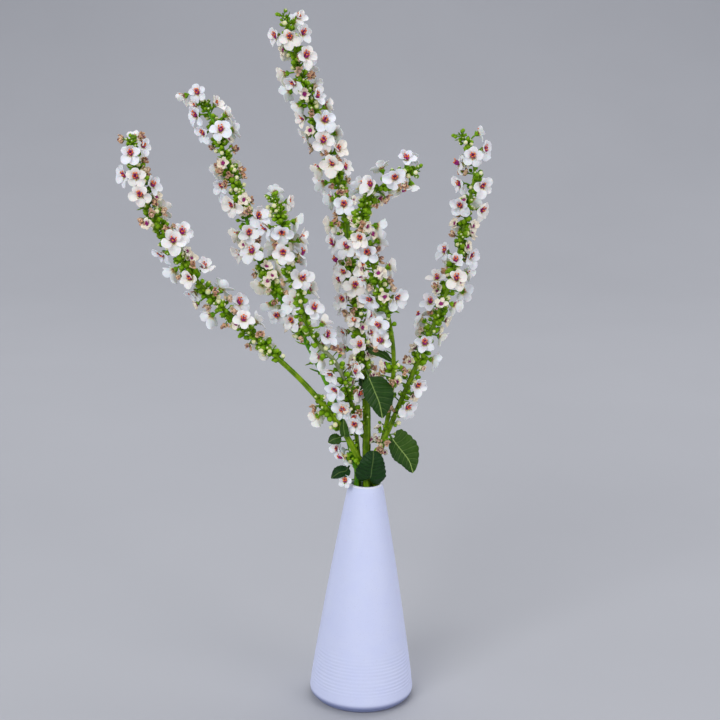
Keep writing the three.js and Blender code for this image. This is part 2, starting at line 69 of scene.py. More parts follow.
# ---- The plan of the stems, as in the frame ----
ROW_GAP = 9.0  # along the stem, from one row of flowers to the next
STEM_FOOT = 5.5
BACK_ROW_SHIFT = 3  # the far side repeats the open blooms of the near side, from a row this far below
SPARSE = {"g": 3, "b": 2, "s": 2}  # of the smallest growths the frame holds every second or third
ELBOW_ROOM, ELBOW_ROUNDS = 0.84, 10  # the share of their radii's sum that neighbours are pressed apart to
ROW_START, ROW_STRAY = 0.4, 2  # of a row's gap, from the tip to the first row, and off a row along the stem
ANGLE_STRAY, LIFT_STRAY, CUP_STRAY = 12, 0.1, 0.08
SIZE_SPREAD, REACH_SPREAD = (0.92, 1.06), (0.85, 1.15)
HEART_OUT = 2  # from the end of the reach to the heart
YOUNG_SHARE = 0.85  # size of the blooms in the two top rows
FRONTWARD = np.array((0.0, -1.0, 0.0))
SIDEWARD = np.array((1.0, 0.0, 0.0))
SKYWARD = np.array((0.0, 0.0, 1.0))
# The angle of each of a row's five places round the stem, in degrees from the front towards the right, and
# how far a bloom there turns back towards the viewer.
PLACES = ((-98, 0.75), (-48, 0.3), (0, 0.0), (48, 0.3), (98, 0.75))

# What a letter in a row stands for. reach: length of the stalklet. cup: how deep the petals stand, as a share
# of the radius. lift: how much it points up the stem. away: a bloom that turns from the viewer.
KINDS = {
    "O": dict(form="bloom", radius=9.9, reach=8, cup=0.2, lift=0.15),
    "C": dict(form="bloom", radius=8.2, reach=8, cup=0.62, lift=0.35),
    "H": dict(form="bloom", radius=9.2, reach=8.5, cup=0.34, lift=0.05, away=0.9),
    "T": dict(form="bloom", radius=9.0, reach=10, cup=-0.22, lift=0.3, away=0.5),
    "w": dict(form="star", radius=5.4, reach=6, cup=0.5, lift=0.3),
    "s": dict(form="spent", radius=2.9, reach=6.5, lift=0.1),
    "b": dict(form="bud", radius=2.1, reach=4.5, lift=0.5),
    "g": dict(form="calyx", radius=1.7, reach=3.2, lift=0.7),
    "v": dict(form="bract", radius=1.5, reach=5, length=11, lift=0.5),
}

# What each stem carries beyond its rows.
FILLERS = (0, 3, 8, 12, 14, 16)  # small green growths beside a row that names none, one, two and so on
FILLER_LETTERS = "ggvgbgg"  # in turn, and green calyces after them
TIP_CALYXES = 18
BACK_BLOOMS = 3
BACK_SHARE = 0.6  # how far down its rows the lowest back bloom stands
GOLDEN_ANGLE = 137.5
PETAL_CURL = {"O": -0.6, "C": 0.35, "H": -0.35, "T": -0.9}  # how far petals bend up on their way

# A stem's path runs from its cut foot to its tip. Its rows run from the tip down, one for each ROW_GAP, and
# name what grows at the left, left front, front, right front and right. Its thickets are crowds of smaller
# growths: first and last row, first and last angle, how many a row, and their letters in turn. Its more are
# single growths: letter, row, angle, reach, radius and turn towards the viewer.
STEMS = (
    dict(
        name="stem_far_left", seed=11, radii=(2.9, 2.7, 1.9, 1.1), ribs=0.10,
        path=((2, -20), (1, -12, 100), (0.5, -4.8, 200), (-11, -8, 232), (-27, -9, 258), (-55, -12, 292),
              (-90, -16, 326), (-136, -23, 371), (-166, -28, 413), (-188, -32, 457), (-196, -34, 500)),
        thickets=((2, 23, -110, 110, 1, "gswg"),),
        more=(("b", 33.5, 0, 4, 2.4, 0.3),),
        rows="sgg.s ..OgC ...bs O.Hbs .g.bs ..O.C v.gsw g.sbs bbg.g gg.ss ...OO Og.gb Hg.gb .s.sw s.C.O "
             "O..g. g..s. s..b. Hg..s ...sO b..Ow ...gH s..s. gg.gv b.b.v g.... ..... ..... ..... ..... "
             "..... s..b. H.g.b g..g. b.... ..... ..... T.... g....",
    ),
    dict(
        name="stem_left", seed=23, radii=(2.4, 2.3, 1.9, 1.1), ribs=0.05,
        path=((-21, -8), (-14, -5, 100), (-8, -3, 200), (-11, -2, 219), (-18, 0, 245), (-33, 7, 281),
              (-53, 15, 319), (-78, 24, 359), (-99, 32, 394), (-111, 38, 436), (-123, 42, 466),
              (-135, 48, 501), (-151, 52, 531)),
        thickets=((2, 25, -110, 110, 1, "gwsg"),),
        more=(("O", 40.2, -35, 12, 6.2, 0.6), ("O", 37.2, -88, 8, 8.4, 1.0), ("C", 36.2, -80, 9, 6.4, 0.8)),
        rows="HgO.. C.b.g .O..C .O..H ..O.H s..gw b.b.s s..g. H.sbs Cs.bs Obb.b sO..s ..w.b ...O. H.O.. "
             "O..s. ..O.b ...gH sg.wg g.gw. bg.g. Hs.s. .O.O. ..H.s wg.gs bb..H v.... ..... v.... v.... "
             "..... ..... ..... g.... ..... g.... ..... ..... g....",
    ),
    dict(
        name="stem_short_left", seed=37, radii=(1.9, 1.8, 1.8, 1.1), ribs=0.05,
        path=((-17, 14), (-12, 10, 100), (-6, 5, 200), (-8, 3, 233), (-13, -4, 268), (-21, -12, 297),
              (-29, -17, 313), (-43, -22, 329), (-53, -27, 348), (-60, -34, 377), (-72, -42, 407),
              (-73, -48, 435), (-81, -52, 458)),
        thickets=((3, 8, -90, 90, 1, "gsg"), (20, 27, -90, 110, 2, "wgCsgb")),
        rows="gg.gg b.b.C bg.gg O.O.H ...gH ..O.w gb.wT g..b. s..O. g.... ...bH g.... g...O v...H s..g. "
             "....O ....s ....s ..... .C..s .O..C g..H. g..g. .O... ..O.. g..b. g....",
    ),
    dict(
        name="stem_tall", seed=53, radii=(3.9, 3.7, 2.6, 1.2), ribs=0.06,
        path=((3, 12), (2, 7, 100), (1, 3.2, 200), (0, 2, 225), (-1, 3, 269), (-7, 6, 318), (-14, 9, 369),
              (-20, 12, 416), (-25, 14, 450), (-41, 16, 491), (-58, 17, 537), (-69, 18, 577), (-77, 18, 599)),
        thickets=((2, 22, -110, 110, 1, "gwsg"), (23, 36, -80, 100, 5, "gwggsgbCggwb"),
                  (36, 39, -60, 90, 2, "gsg")),
        rows="gg.g. g.b.C O.O.O g.g.. b..O. H.s.. .O.ss Hg..s H.bC. C.sbH g..O. O...s ..O.H ..s.C H.O.s "
             "g.b.C H.g.s Hgs.g ..O.w s.gg. Hs.w. w...s O.O.. ..s.b T..O. O...O ..O.s sw..H O.s.. ww.H. "
             "O..w. g.s.C H.C.s w..b. s...s ...sH Hg.g. ..... ..... ..... ..... ....w",
    ),
    dict(
        name="stem_curled", seed=71, radii=(2.3, 2.2, 1.8, 1.0), ribs=0.05,
        path=((12, 21), (8, 15, 100), (5, 8, 200), (12, 9, 226), (20, 6, 272), (21, -11, 320), (12, -34, 370),
              (-1, -44, 407), (-9, -50, 432), (-5, -54, 453), (9, -60, 469), (24, -66, 480), (37, -70, 481)),
        thickets=((1, 9, -90, 90, 1, "gsg"), (9, 15, -110, 60, 2, "wCgw"),
                  (17, 27, -150, -30, 1, "wgs"), (28, 33, -90, 90, 2, "gvgb")),
        rows="ggbgg C.bbH ..O.. H...T .O..s H...w gg.gg gg.gb .g.wH ..C.. ..H.H ....s ....s ...wH ss..s "
             "O.w.s g.gbO g..gv .T... w.... .T... ..... ..... ..... s...s ..sb. ..... .O...",
    ),
    dict(
        name="stem_right", seed=89, radii=(2.5, 2.4, 2.0, 1.1), ribs=0.05,
        path=((23, -3), (16, -2, 100), (9, -1, 200), (12, 1, 228), (23, 3, 258), (37, 7, 293), (54, 12, 335),
              (68, 17, 374), (77, 22, 408), (82, 26, 438), (87, 29, 470), (81, 30, 492), (72, 30, 503)),
        thickets=((2, 24, -110, 110, 1, "gwsg"), (24, 29, -90, 90, 2, "sgwg"), (29, 32, -60, 90, 2, "gvg")),
        more=(("w", 31.5, -90, 8, 4.2, 0.3), ("w", 30.6, -90, 7, 3.6, 0.1), ("s", 31, -30, 7, 2.2, 0.3),
              ("w", 32, 30, 5, 3.0, 0.5), ("b", 29, 60, 4, 2.4, 0.3), ("b", 30.5, 90, 7, 2.2, 0.3)),
        rows="gg.gg g.b.H ..O.O T..g. s..b. O..O. ..g.. .O..O g.g.. w..wg s.g.w g.g.g O...O b.C.H s.O.s "
             "C...H w...H C.w.. s..gw T...g g...C ..C.. w.g.H sb..g s.... ...C. ....w ...O. g.... ..... "
             "..... ..s.. ..s..",
    ),
)

# A leaf's midrib starts on a stem, at a distance from the stem's foot and an angle round it, and runs on
# through its points. stalk: the share of it before the blade. fold: how far the halves rise, or if negative
# fall back, from the midrib. tone: 0 for dark bluish green to 1 for light yellowish green. rib: how pale its
# veins are. full: the lower, the broader the blade is from its base on. skew: how much wider its right half
# is. ears: how far each half's edge reaches back past the stalk's end. hem: how far its middle does.
# painted_light: how much lighter its right half is painted, as painted light where the light catches it.
LEAF_GAP = 0.5
LEAVES = (
    dict(name="leaf_front", stem="stem_tall", at=302, angle=8, stalk=0.3, width=25, fold=-0.2, teeth=11,
         tone=0.3, rib=0.6, skew=0.25, facing=(0.15, -1, 0.3),
         midrib=((3, -14, 293), (6, -19, 287), (10, -22, 278), (13, -22, 265))),
    dict(name="leaf_right", stem="stem_right", at=241, angle=55, stalk=0.12, width=25, fold=0.12, teeth=9,
         tone=0.6, rib=0.8, skew=0.15, ears=(0.1, 0.9), painted_light=0.35, facing=(0.35, -1, 0.5),
         midrib=((22, -2, 241), (29, -5, 233), (37, -7, 223), (41, -7, 212))),
    dict(name="leaf_mouth", stem="stem_far_left", at=203, angle=35, stalk=0.12, width=26, fold=-0.3, teeth=7,
         tone=0.05, rib=0.15, full=0.42, hem=0.7, facing=(0.1, -1, 0.15),
         midrib=((4, -12.5, 209), (5, -15.5, 218), (6, -16, 226), (6, -13, 233))),
    dict(name="leaf_fold", stem="stem_far_left", at=252, angle=-10, stalk=0.2, width=8, fold=0.3, teeth=7,
         tone=0.7, rib=0.3, facing=(0.3, -1, 0.2),
         midrib=((-19, -16, 247), (-20, -17, 254), (-20, -17, 262))),
    dict(name="leaf_round", stem="stem_far_left", at=246, angle=-60, stalk=0.2, width=10, fold=-0.2, teeth=7,
         tone=0.5, rib=0.2, facing=(-0.1, -1, 0.6),
         midrib=((-25, -14, 244), (-29, -15, 243), (-33, -15, 240))),
    dict(name="leaf_lip", stem="stem_left", at=216, angle=-50, stalk=0.25, width=12, fold=0.2, teeth=7,
         tone=0.0, rib=0.15, facing=(-0.3, -1, 0.7),
         midrib=((-17, -8, 213), (-23, -11, 212), (-30, -12, 207))),
    dict(name="leaf_dark", stem="stem_tall", at=297, angle=-30, stalk=0.2, width=6, fold=0.25, teeth=6,
         tone=0.15, rib=0.2, facing=(-0.3, -1, 0.2), midrib=((-5, -1, 294), (-4, -3, 288), (-3, -4, 280))),
    dict(name="leaf_narrow", stem="stem_tall", at=317, angle=60, stalk=0.2, width=8, fold=0.25, teeth=6,
         tone=0.6, rib=0.1, facing=(0.1, -1, 0.6), midrib=((2, -2, 319), (11, -2, 317), (21, -1, 309))),
)

VASE = dict(height=200.0, lip=14.8, widest=46.2, widest_at=9.6, foot=39.8, bulge=1.3, wall=2.5, floor=5.0)


# ---- Vectors and draws ----
def unit(v):
    return v / np.maximum(np.linalg.norm(v, axis=-1, keepdims=True), 1e-9)


def smooth(low, high, x):
    """0 below low, 1 above high and an even S between."""
    t = np.clip((x - low) / (high - low), 0, 1)
    return t * t * (3 - 2 * t)


def round_turn(sides):
    """The angles of a ring's points."""
    return 2 * np.pi * np.arange(sides) / sides


def not_along(axis):
    """Straight up, or to the side for an axis that points nearly up or down itself."""
    return np.where(np.abs(axis[..., 2:]) < 0.9, SKYWARD, SIDEWARD)


def square_to(axis, helper):
    """Two directions square to an axis and to each other, the first square to helper too."""
    u = unit(np.cross(helper, axis))
    return u, np.cross(axis, u)


def spokes(axis, helper, sides):
    """A ring of directions round each axis."""
    turn = round_turn(sides)[:, None]
    u, v = square_to(axis, helper)
    return np.cos(turn) * u[..., None, :] + np.sin(turn) * v[..., None, :]


def at_places(places, line):
    """The points at places, counted in samples, along a line."""
    return np.stack([np.interp(places, np.arange(len(line)), line[:, c]) for c in range(3)], -1)


def hooked(start, bend, end, steps):
    """A curve from start to end that pulls towards bend."""
    t = np.linspace(0, 1, steps)[:, None]
    return (1 - t) ** 2 * start + 2 * t * (1 - t) * bend + t**2 * end


def arc_length(chord, bend):
    return chord * (bend / 2) / math.sin(bend / 2)


class Draws:
    """A seeded stream of even draws between two values."""

    def __init__(self, seed):
        self.state = seed

    def __call__(self, low, high):
        self.state = (self.state * 1664525 + 1013904223) % 2**32
        return low + (high - low) * self.state / 2**32


class Course:
    """A smooth line through a path's points, with the distance from its foot at each sample."""

    def __init__(self, path, steps):
        points = [np.array(p if len(p) == 3 else (*p, STEM_FOOT), float) for p in path]
        points = [2 * points[0] - points[1], *points, 2 * points[-1] - points[-2]]
        line = [
            (
                (-t + 2 * t**2 - t**3) * a + (2 - 5 * t**2 + 3 * t**3) * b
                + (t + 4 * t**2 - 3 * t**3) * c + (t**3 - t**2) * d
            ) / 2
            for a, b, c, d in zip(points, points[1:], points[2:], points[3:])
            for t in np.arange(steps) / steps]
        self.line = np.array([*line, points[-2]])
        gaps = np.linalg.norm(np.diff(self.line, axis=0), axis=1)
        self.along = np.concatenate([[0], np.cumsum(gaps)])
        self.length = self.along[-1]

    def at(self, distance):
        """The point at a distance from the foot, and the directions up the stem, to the front and right."""
        s = min(max(distance, 0.0), self.length)
        i = min(max(int(np.searchsorted(self.along, s, side="left")), 1), len(self.along) - 1)
        share = (s - self.along[i - 1]) / (self.along[i] - self.along[i - 1])
        point = self.line[i - 1] + (self.line[i] - self.line[i - 1]) * share
        up = unit(self.line[i] - self.line[i - 1])
        front = unit(FRONTWARD - up * (FRONTWARD @ up))
        return point, up, front, np.cross(up, front)

    def evenly(self, share):
        """The points at shares of the length."""
        return np.stack([np.interp(share * self.length, self.along, self.line[:, c]) for c in range(3)], -1)


def radius_at(radii, share):
    """The stem's radius at a share of its length, from its radii at even shares from foot to tip."""
    return np.interp(np.clip(share, 0, 1) * (len(radii) - 1), range(len(radii)), radii)


# ---- Gathering forms into pieces ----
class Skin:
    """The points, faces and per-point values of one piece, gathered from many small closed forms. form is
    (share along, place across, tint), trait is (side, chance of the part, chance of the growth)."""

    def __init__(self):
        self.points, self.corners, self.sizes, self.forms, self.traits = [], [], [], [], []
        self.count = 0

    def add(self, points, faces, form, trait):
        """Copies of a form: points (copies, ..., 3) and the faces of one. form and trait fit the points."""
        step = points[0].size // 3
        for group in faces:
            copied = group + (self.count + step * np.arange(len(points)))[:, None, None]
            self.corners.append(copied.ravel())
            self.sizes.append(np.full(len(group) * len(points), group.shape[1]))
        self.points.append(points.reshape(-1, 3))
        self.forms.append(np.broadcast_to(form, points.shape).reshape(-1, 3))
        self.traits.append(np.broadcast_to(trait, points.shape).reshape(-1, 3))
        self.count += step * len(points)

    def piece(self, name, material, slot, node, sharp):
        mesh = bpy.data.meshes.new(name)
        corners, sizes = np.concatenate(self.corners), np.concatenate(self.sizes)
        mesh.vertices.add(self.count)
        mesh.vertices.foreach_set("co", (np.concatenate(self.points) * MM).ravel())
        mesh.loops.add(len(corners))
        mesh.loops.foreach_set("vertex_index", corners.astype(np.int32))
        mesh.polygons.add(len(sizes))
        mesh.polygons.foreach_set("loop_start", (np.cumsum(sizes) - sizes).astype(np.int32))
        mesh.update(calc_edges=True)
        mesh.validate()
        for attribute, values in (("form", self.forms), ("trait", self.traits)):
            layer = mesh.attributes.new(attribute, "FLOAT_VECTOR", "POINT")
            layer.data.foreach_set("vector", np.concatenate(values).astype(np.float32).ravel())
        mesh.shade_smooth()
        mesh.set_sharp_from_angle(angle=math.radians(sharp))
        mesh.materials.append(material)
        made = bpy.data.objects.new(name, mesh)
        bpy.context.scene.collection.objects.link(made)
        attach(made, "root")
        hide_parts(node)


def add_shells(skin, nets, thickness, form, trait):
    """Closed thin shells over nets of points (shells, rows, columns, 3): the net, one under it and a rim."""
    rows, columns = nets.shape[1:3]
    normal = unit(np.cross(np.gradient(nets, axis=1), np.gradient(nets, axis=2)))
    half = np.asarray(thickness) / 2 * normal
    net = np.arange(rows * columns).reshape(rows, columns)
    under = rows * columns
    top = np.stack([net[:-1, :-1], net[1:, :-1], net[1:, 1:], net[:-1, 1:]], -1).reshape(-1, 4)
    edge = np.concatenate([net[:, 0], net[-1, 1:], net[-2::-1, -1], net[0, -2::-1]])
    here, there = edge[:-1], edge[1:]
    rim = np.stack([there, here, here + under, there + under], -1)
    faces = [np.concatenate([top, top[:, ::-1] + under, rim])]
    skin.add(np.stack([nets + half, nets - half], axis=1), faces, form[:, None],
             np.stack([trait, trait * (0, 1, 1)], axis=1))


def ring_faces(rings, sides):
    """The points' numbers in a stack of rings, the same turned by one, and the faces between rings."""
    net = np.arange(rings * sides).reshape(rings, sides)
    after = np.roll(net, -1, axis=1)
    return net, after, np.stack([net[:-1], after[:-1], after[1:], net[1:]], -1).reshape(-1, 4)


def tube_net(centres, radii, sides, helper=None):
    """Rings of points round lines: centres (tubes, rings, 3), radii (tubes, rings)."""
    if helper is None:
        helper = not_along(unit(centres[:, -1] - centres[:, 0]))[:, None]
    ring = spokes(unit(np.gradient(centres, axis=1)), helper, sides)
    return centres[..., None, :] + np.asarray(radii)[..., None, None] * ring


def add_tubes(skin, nets, form, trait, graded=True):
    """Closed bodies over rings of points (tubes, rings, sides, 3), each end drawn to a middle point. graded:
    the form's first number is left out of it and runs from 0 to 1 along each tube."""
    copies, rings, sides, _ = nets.shape
    net, after, walls = ring_faces(rings, sides)
    low, high = rings * sides, rings * sides + 1
    caps = np.concatenate([
        np.stack([np.full(sides, low), after[0], net[0]], -1),
        np.stack([np.full(sides, high), net[-1], after[-1]], -1)])
    points = np.concatenate([nets.reshape(copies, -1, 3), nets[:, [0, -1]].mean(axis=2)], axis=1)
    if graded:
        along = np.append(np.repeat(np.linspace(0, 1, rings), sides), (0, 1))[None, :, None]
        rest = np.broadcast_to(form, (copies, high + 1, 2))
        form = np.concatenate([np.broadcast_to(along, (copies, high + 1, 1)), rest], axis=-1)
    skin.add(points, [walls, caps], form, trait)


def add_spikes(skin, nets, tips, forms, traits):
    """Closed bodies over rings of points (spikes, rings, sides, 3), each drawn to a tip (spikes, 3)."""
    copies, rings, sides, _ = nets.shape
    net, after, walls = ring_faces(rings, sides)
    point = np.stack([net[-1], after[-1], np.full(sides, rings * sides)], -1)
    points = np.concatenate([nets.reshape(copies, -1, 3), tips[:, None]], axis=1)
    skin.add(points, [walls, point, net[:1, ::-1]], forms, traits)


def add_hairs(skin, roots, tips, radius, form, trait):
    """Three-sided hairs from roots to tips, both (hairs, 3). form is its second and third number."""
    axis = unit(tips - roots)
    ring = roots[:, None] + radius * spokes(axis, not_along(axis), 3)
    add_spikes(skin, ring[:, None], tips, np.array([(0, *form)] * 3 + [(1, *form)]), trait)


class Lobes:
    """Petals, sepals or bracts of one fineness and outline, made together once all are known. base and tip
    are the widths at the ends as shares of the widest, at the share peak of the length; pull draws the edges
    back from the tip, which rounds it. A lobe is a thin shell, or, keeled, has three columns and is solid
    down to a keel under the middle one, with a pointed tip."""

    def __init__(self, rows, columns, thickness, base, peak, tip, pull=0.0, keeled=False):
        self.rows, self.columns, self.thickness, self.keeled = rows, columns, thickness, keeled
        self.base, self.peak, self.tip, self.pull = base, peak, tip, pull
        self.listed = []

    def add(self, heart, out, side, axis, **values):
        """A lobe that leaves heart towards out, with axis as the upper side. slope: its first rise from
        out, curl: how far it bends up on its way, both in radians. hollow, lean, ruffle and crumple say how
        far its surface leaves a flat one."""
        self.listed.append((heart, out, side, axis, values))

    def column(self, name):
        return np.array([values.get(name, 0.0) for *_, values in self.listed])[:, None, None]

    def into(self, skin):
        if not self.listed:
            return
        heart, out, side, axis = (
            np.array([lobe[k] for lobe in self.listed])[:, None, None] for k in range(4))
        s = np.linspace(0, 1, self.rows)[None, :, None]
        q = np.linspace(-1, 1, self.columns)[None, None, :]
        rising = self.base + (1 - self.base) * np.sin(np.pi / 2 * np.minimum(s / self.peak, 1))
        falling = np.cos(np.pi / 2 * np.clip((s - self.peak) / (1 - self.peak), 0, 1)) ** 0.8
        spread = np.where(s < self.peak, rising, self.tip + (1 - self.tip) * falling)
        length, width, curl, slope, phase = map(self.column, ("length", "width", "curl", "slope", "phase"))
        share = s * (1 - self.pull * q**2 * s)
        angle = slope + curl * share
        along = self.column("start") + length * (np.sin(angle) - np.sin(slope)) / curl
        height = length * (np.cos(slope) - np.cos(angle)) / curl
        lift = (
            self.column("hollow") * width * (q * spread) ** 2
            + self.column("lean") * width * q * spread
            + self.column("ruffle") * length * np.sin(phase + 3.7 * q + 4.6 * share) * share**2
            + self.column("crumple") * length * np.sin(2 * phase + 7.3 * q) * np.sin(phase + 8.1 * share)
        )
        across = width * spread * q * (1 + 0.06 * np.sin(phase * 3 + 6 * share))
        nets = (
            heart + out * (along - np.sin(angle) * lift)[..., None] + side * across[..., None]
            + axis * (height + np.cos(angle) * lift)[..., None])
        ones = np.ones_like(across)
        form = np.stack([s * ones, (q + 1) / 2 * ones, self.column("tint") * ones], -1)
        trait = np.stack([ones, self.column("own") * ones, self.column("kin") * ones], -1)
        if not self.keeled:
            add_shells(skin, nets, self.thickness, form, trait)
            return
        above = axis * np.cos(angle)[..., None] - out * np.sin(angle)[..., None]
        nets[:, :-1, 1] -= self.thickness * above[:, :-1, 1]
        ring = [2, 0, 1]  # right, left and keel
        forms, traits = (
            np.concatenate([values[:, :-1, ring].reshape(len(nets), -1, 3), values[:, -1:, 1]], axis=1)
            for values in (form, trait))
        add_spikes(skin, nets[:, :-1, ring], nets[:, -1, 1], forms, traits)


# ---- What stands where on a stem ----
class Growth:
    """One bloom, bud, calyx, faded bloom or bract: where its stalklet leaves the stem, its heart and axis."""

    def __init__(self, course, draw, letter, index, angle, turn, kind=None):
        self.letter, self.kind = letter, kind or KINDS[letter]
        distance = course.length - (index + ROW_START) * ROW_GAP - draw(-ROW_STRAY, ROW_STRAY)
        self.root, self.up, front, right = course.at(distance)
        way_round = math.radians(angle + draw(-ANGLE_STRAY, ANGLE_STRAY))
        self.outward = front * math.cos(way_round) + right * math.sin(way_round)
        way = unit(self.outward + self.up * (self.kind["lift"] + draw(-LIFT_STRAY, LIFT_STRAY)))
        if "away" in self.kind:
            turn = -turn * self.kind["away"] * 0.5
        young = YOUNG_SHARE if index < 2 and self.kind["form"] == "bloom" else 1.0
        self.heart = self.root + way * (self.kind["reach"] * draw(*REACH_SPREAD) + HEART_OUT)
        self.axis = unit(way + front * turn)
        self.radius = self.kind["radius"] * young * draw(*SIZE_SPREAD)
        self.roll = draw(0, 2 * math.pi)

    def shape(self, draw):
        """The size and the height of each petal's end."""
        cup, radius = self.kind.get("cup", 0), self.radius
        self.petals = []
        for _ in range(5):
            if self.kind["form"] == "bloom":
                size = radius * draw(*SIZE_SPREAD)
                self.petals.append((size, radius * (cup + draw(-CUP_STRAY, CUP_STRAY))))
                draw(-1, 1)  # the frame twists its petal by this
            elif self.kind["form"] == "star":
                self.petals.append((radius * draw(0.8, 1.15), radius * cup * draw(0.6, 1.4)))

    def directions(self, turn):
        """Two directions square to the axis, the first at an angle from the growth's own roll."""
        u, v = square_to(self.axis, not_along(self.axis))
        angle = self.roll + turn
        out = u * math.cos(angle) + v * math.sin(angle)
        return out, np.cross(self.axis, out)

    def top(self):
        """The direction across the bloom's face that points most nearly up."""
        return unit(SKYWARD - self.axis * (SKYWARD @ self.axis) + 1e-6)


def spread_out(growths):
    """Neighbours press each other apart until each has some room."""
    for _ in range(ELBOW_ROUNDS):
        for i, a in enumerate(growths):
            for b in growths[i + 1:]:
                between = b.heart - a.heart
                apart = math.sqrt(between @ between)
                lack = ELBOW_ROOM * (a.radius + b.radius) - apart
                if lack <= 0:
                    continue
                between = between * (lack / 2 / apart)
                share = 2 * b.radius / (a.radius + b.radius)
                a.heart = a.heart - between * share
                b.heart = b.heart + between * (2 - share)


def before_face(growth, bloom):
    """Whether a growth would stand right before an open bloom's face."""
    between = growth.heart - bloom.heart
    room = 0.5 * bloom.radius + growth.radius
    return between @ bloom.axis > 0 and between @ between < room * room


def named(rows):
    """What the rows name: what the frame holds, and the smallest growths that it leaves out."""
    held, left_out = [], []
    for index, row in enumerate(rows):
        for place, letter in enumerate(row):
            if letter != ".":
                skipped = letter in SPARSE and (index + place) % SPARSE[letter]
                (left_out if skipped else held).append((letter, index, *PLACES[place]))
        below = rows[index + BACK_ROW_SHIFT] if index + BACK_ROW_SHIFT < len(rows) else "....."
        for place in (1, 2, 3):
            if below[place] in "OCHT" and (index + place) % 2 == 0:
                held.append((below[place], index, 180 - PLACES[place][0], 0.0))
    return held, left_out


def added(stem, rows, draw):
    """What a stem carries beyond its rows. Each is grown before the next is drawn."""
    for index, row in enumerate(rows):
        for k in range(FILLERS[len(row) - row.count(".")]):
            letter = FILLER_LETTERS[(index + k) % 7] if k < 7 else "g"
            place = max(index + draw(-0.5, 0.5), 0.4)
            grown = float(0.45 + 0.55 * smooth(0.0, 2.5, place))  # they are small towards the tip
            kind = dict(KINDS[letter], radius=draw(1.7, 2.7) * grown, reach=draw(0.8, 4.2) * grown,
                        lift=draw(0.2, 1.0))
            if letter == "v":
                kind.update(length=draw(5, 8), radius=1.0)
            yield letter, place, draw(0, 360), 0.0, kind
    for first, last, low, high, count, letters in stem["thickets"]:
        for k in range((last - first) * count):
            letter = letters[k % len(letters)]
            reach = draw(2, 6) if letter == "g" else draw(4, 12)
            kind = dict(KINDS[letter], reach=reach, lift=draw(-0.1, 0.6))
            kind["radius"] *= draw(0.75, 1.1)
            yield letter, first + k / count, draw(low, high), 0.3, kind
    for letter, index, angle, reach, radius, turn in stem.get("more", ()):
        yield letter, index, angle, turn, dict(KINDS[letter], reach=reach, radius=radius)
    for k in range(TIP_CALYXES):
        kind = dict(KINDS["g"], radius=draw(0.7, 0.9) + 0.04 * k, reach=0.12 * k - 1.8, lift=draw(0.5, 1.2))
        yield "g", 0.35 + 0.06 * k, k * GOLDEN_ANGLE, 0.0, kind
    for k in range(BACK_BLOOMS):
        yield "OC"[k % 2], len(rows) * BACK_SHARE * (k + 1) / BACK_BLOOMS, 180 + draw(-30, 30), 0.0


def growths_of(stem, course):
    """The growths that the frame holds, where it holds them, and the finer ones that hide no open bloom."""
    rows = stem["rows"].split(" ")
    draw, extra = Draws(stem["seed"]), Draws(stem["seed"] + 1000)
    held, left_out = named(rows)
    held = [Growth(course, draw, *what) for what in held]
    spread_out(held)
    for growth in held:
        growth.shape(draw)
    fine = [Growth(course, extra, *what) for what in left_out]
    fine += [Growth(course, extra, *what) for what in added(stem, rows, extra)]
    clear = list(held)
    blooms = [growth for growth in held if growth.kind["form"] == "bloom"]
    for growth in fine:
        growth.shape(extra)
        if not any(before_face(growth, bloom) for bloom in blooms):
            clear.append(growth)
            if growth.kind["form"] == "bloom":
                blooms.append(growth)
    return clear


# ---- The parts of a growth ----
STALK_RINGS = 4
FILAMENT_RADII = np.array([0.35, 0.78, 1.0, 0.94, 0.45])
BLOOM_HAIRS, SWEPT_BLOOM_HAIRS, WITHERED_HAIRS, SPENT_HAIRS, STEM_HAIRS = 22, 28, 8, 22, 500
STEM_SIDES, STEM_RIBS = 20, 5
HAIRS_FROM = 205  # the height above which a stem's hairs show
RIB_UNIT = 6.3  # the angle round a stem that its form counts as 1


def hair_tips(random, roots, way, stray, low, high):
    """The ends of hairs that stand off their roots along way, strayed and uneven in length."""
    count = len(roots)
    return roots + unit(way + stray * random.normal(size=(count, 3))) * random.uniform(low, high, (count, 1))


def bent(bend, least):
    """A bend that isn't too slight to divide by."""
    return bend if abs(bend) > least else least


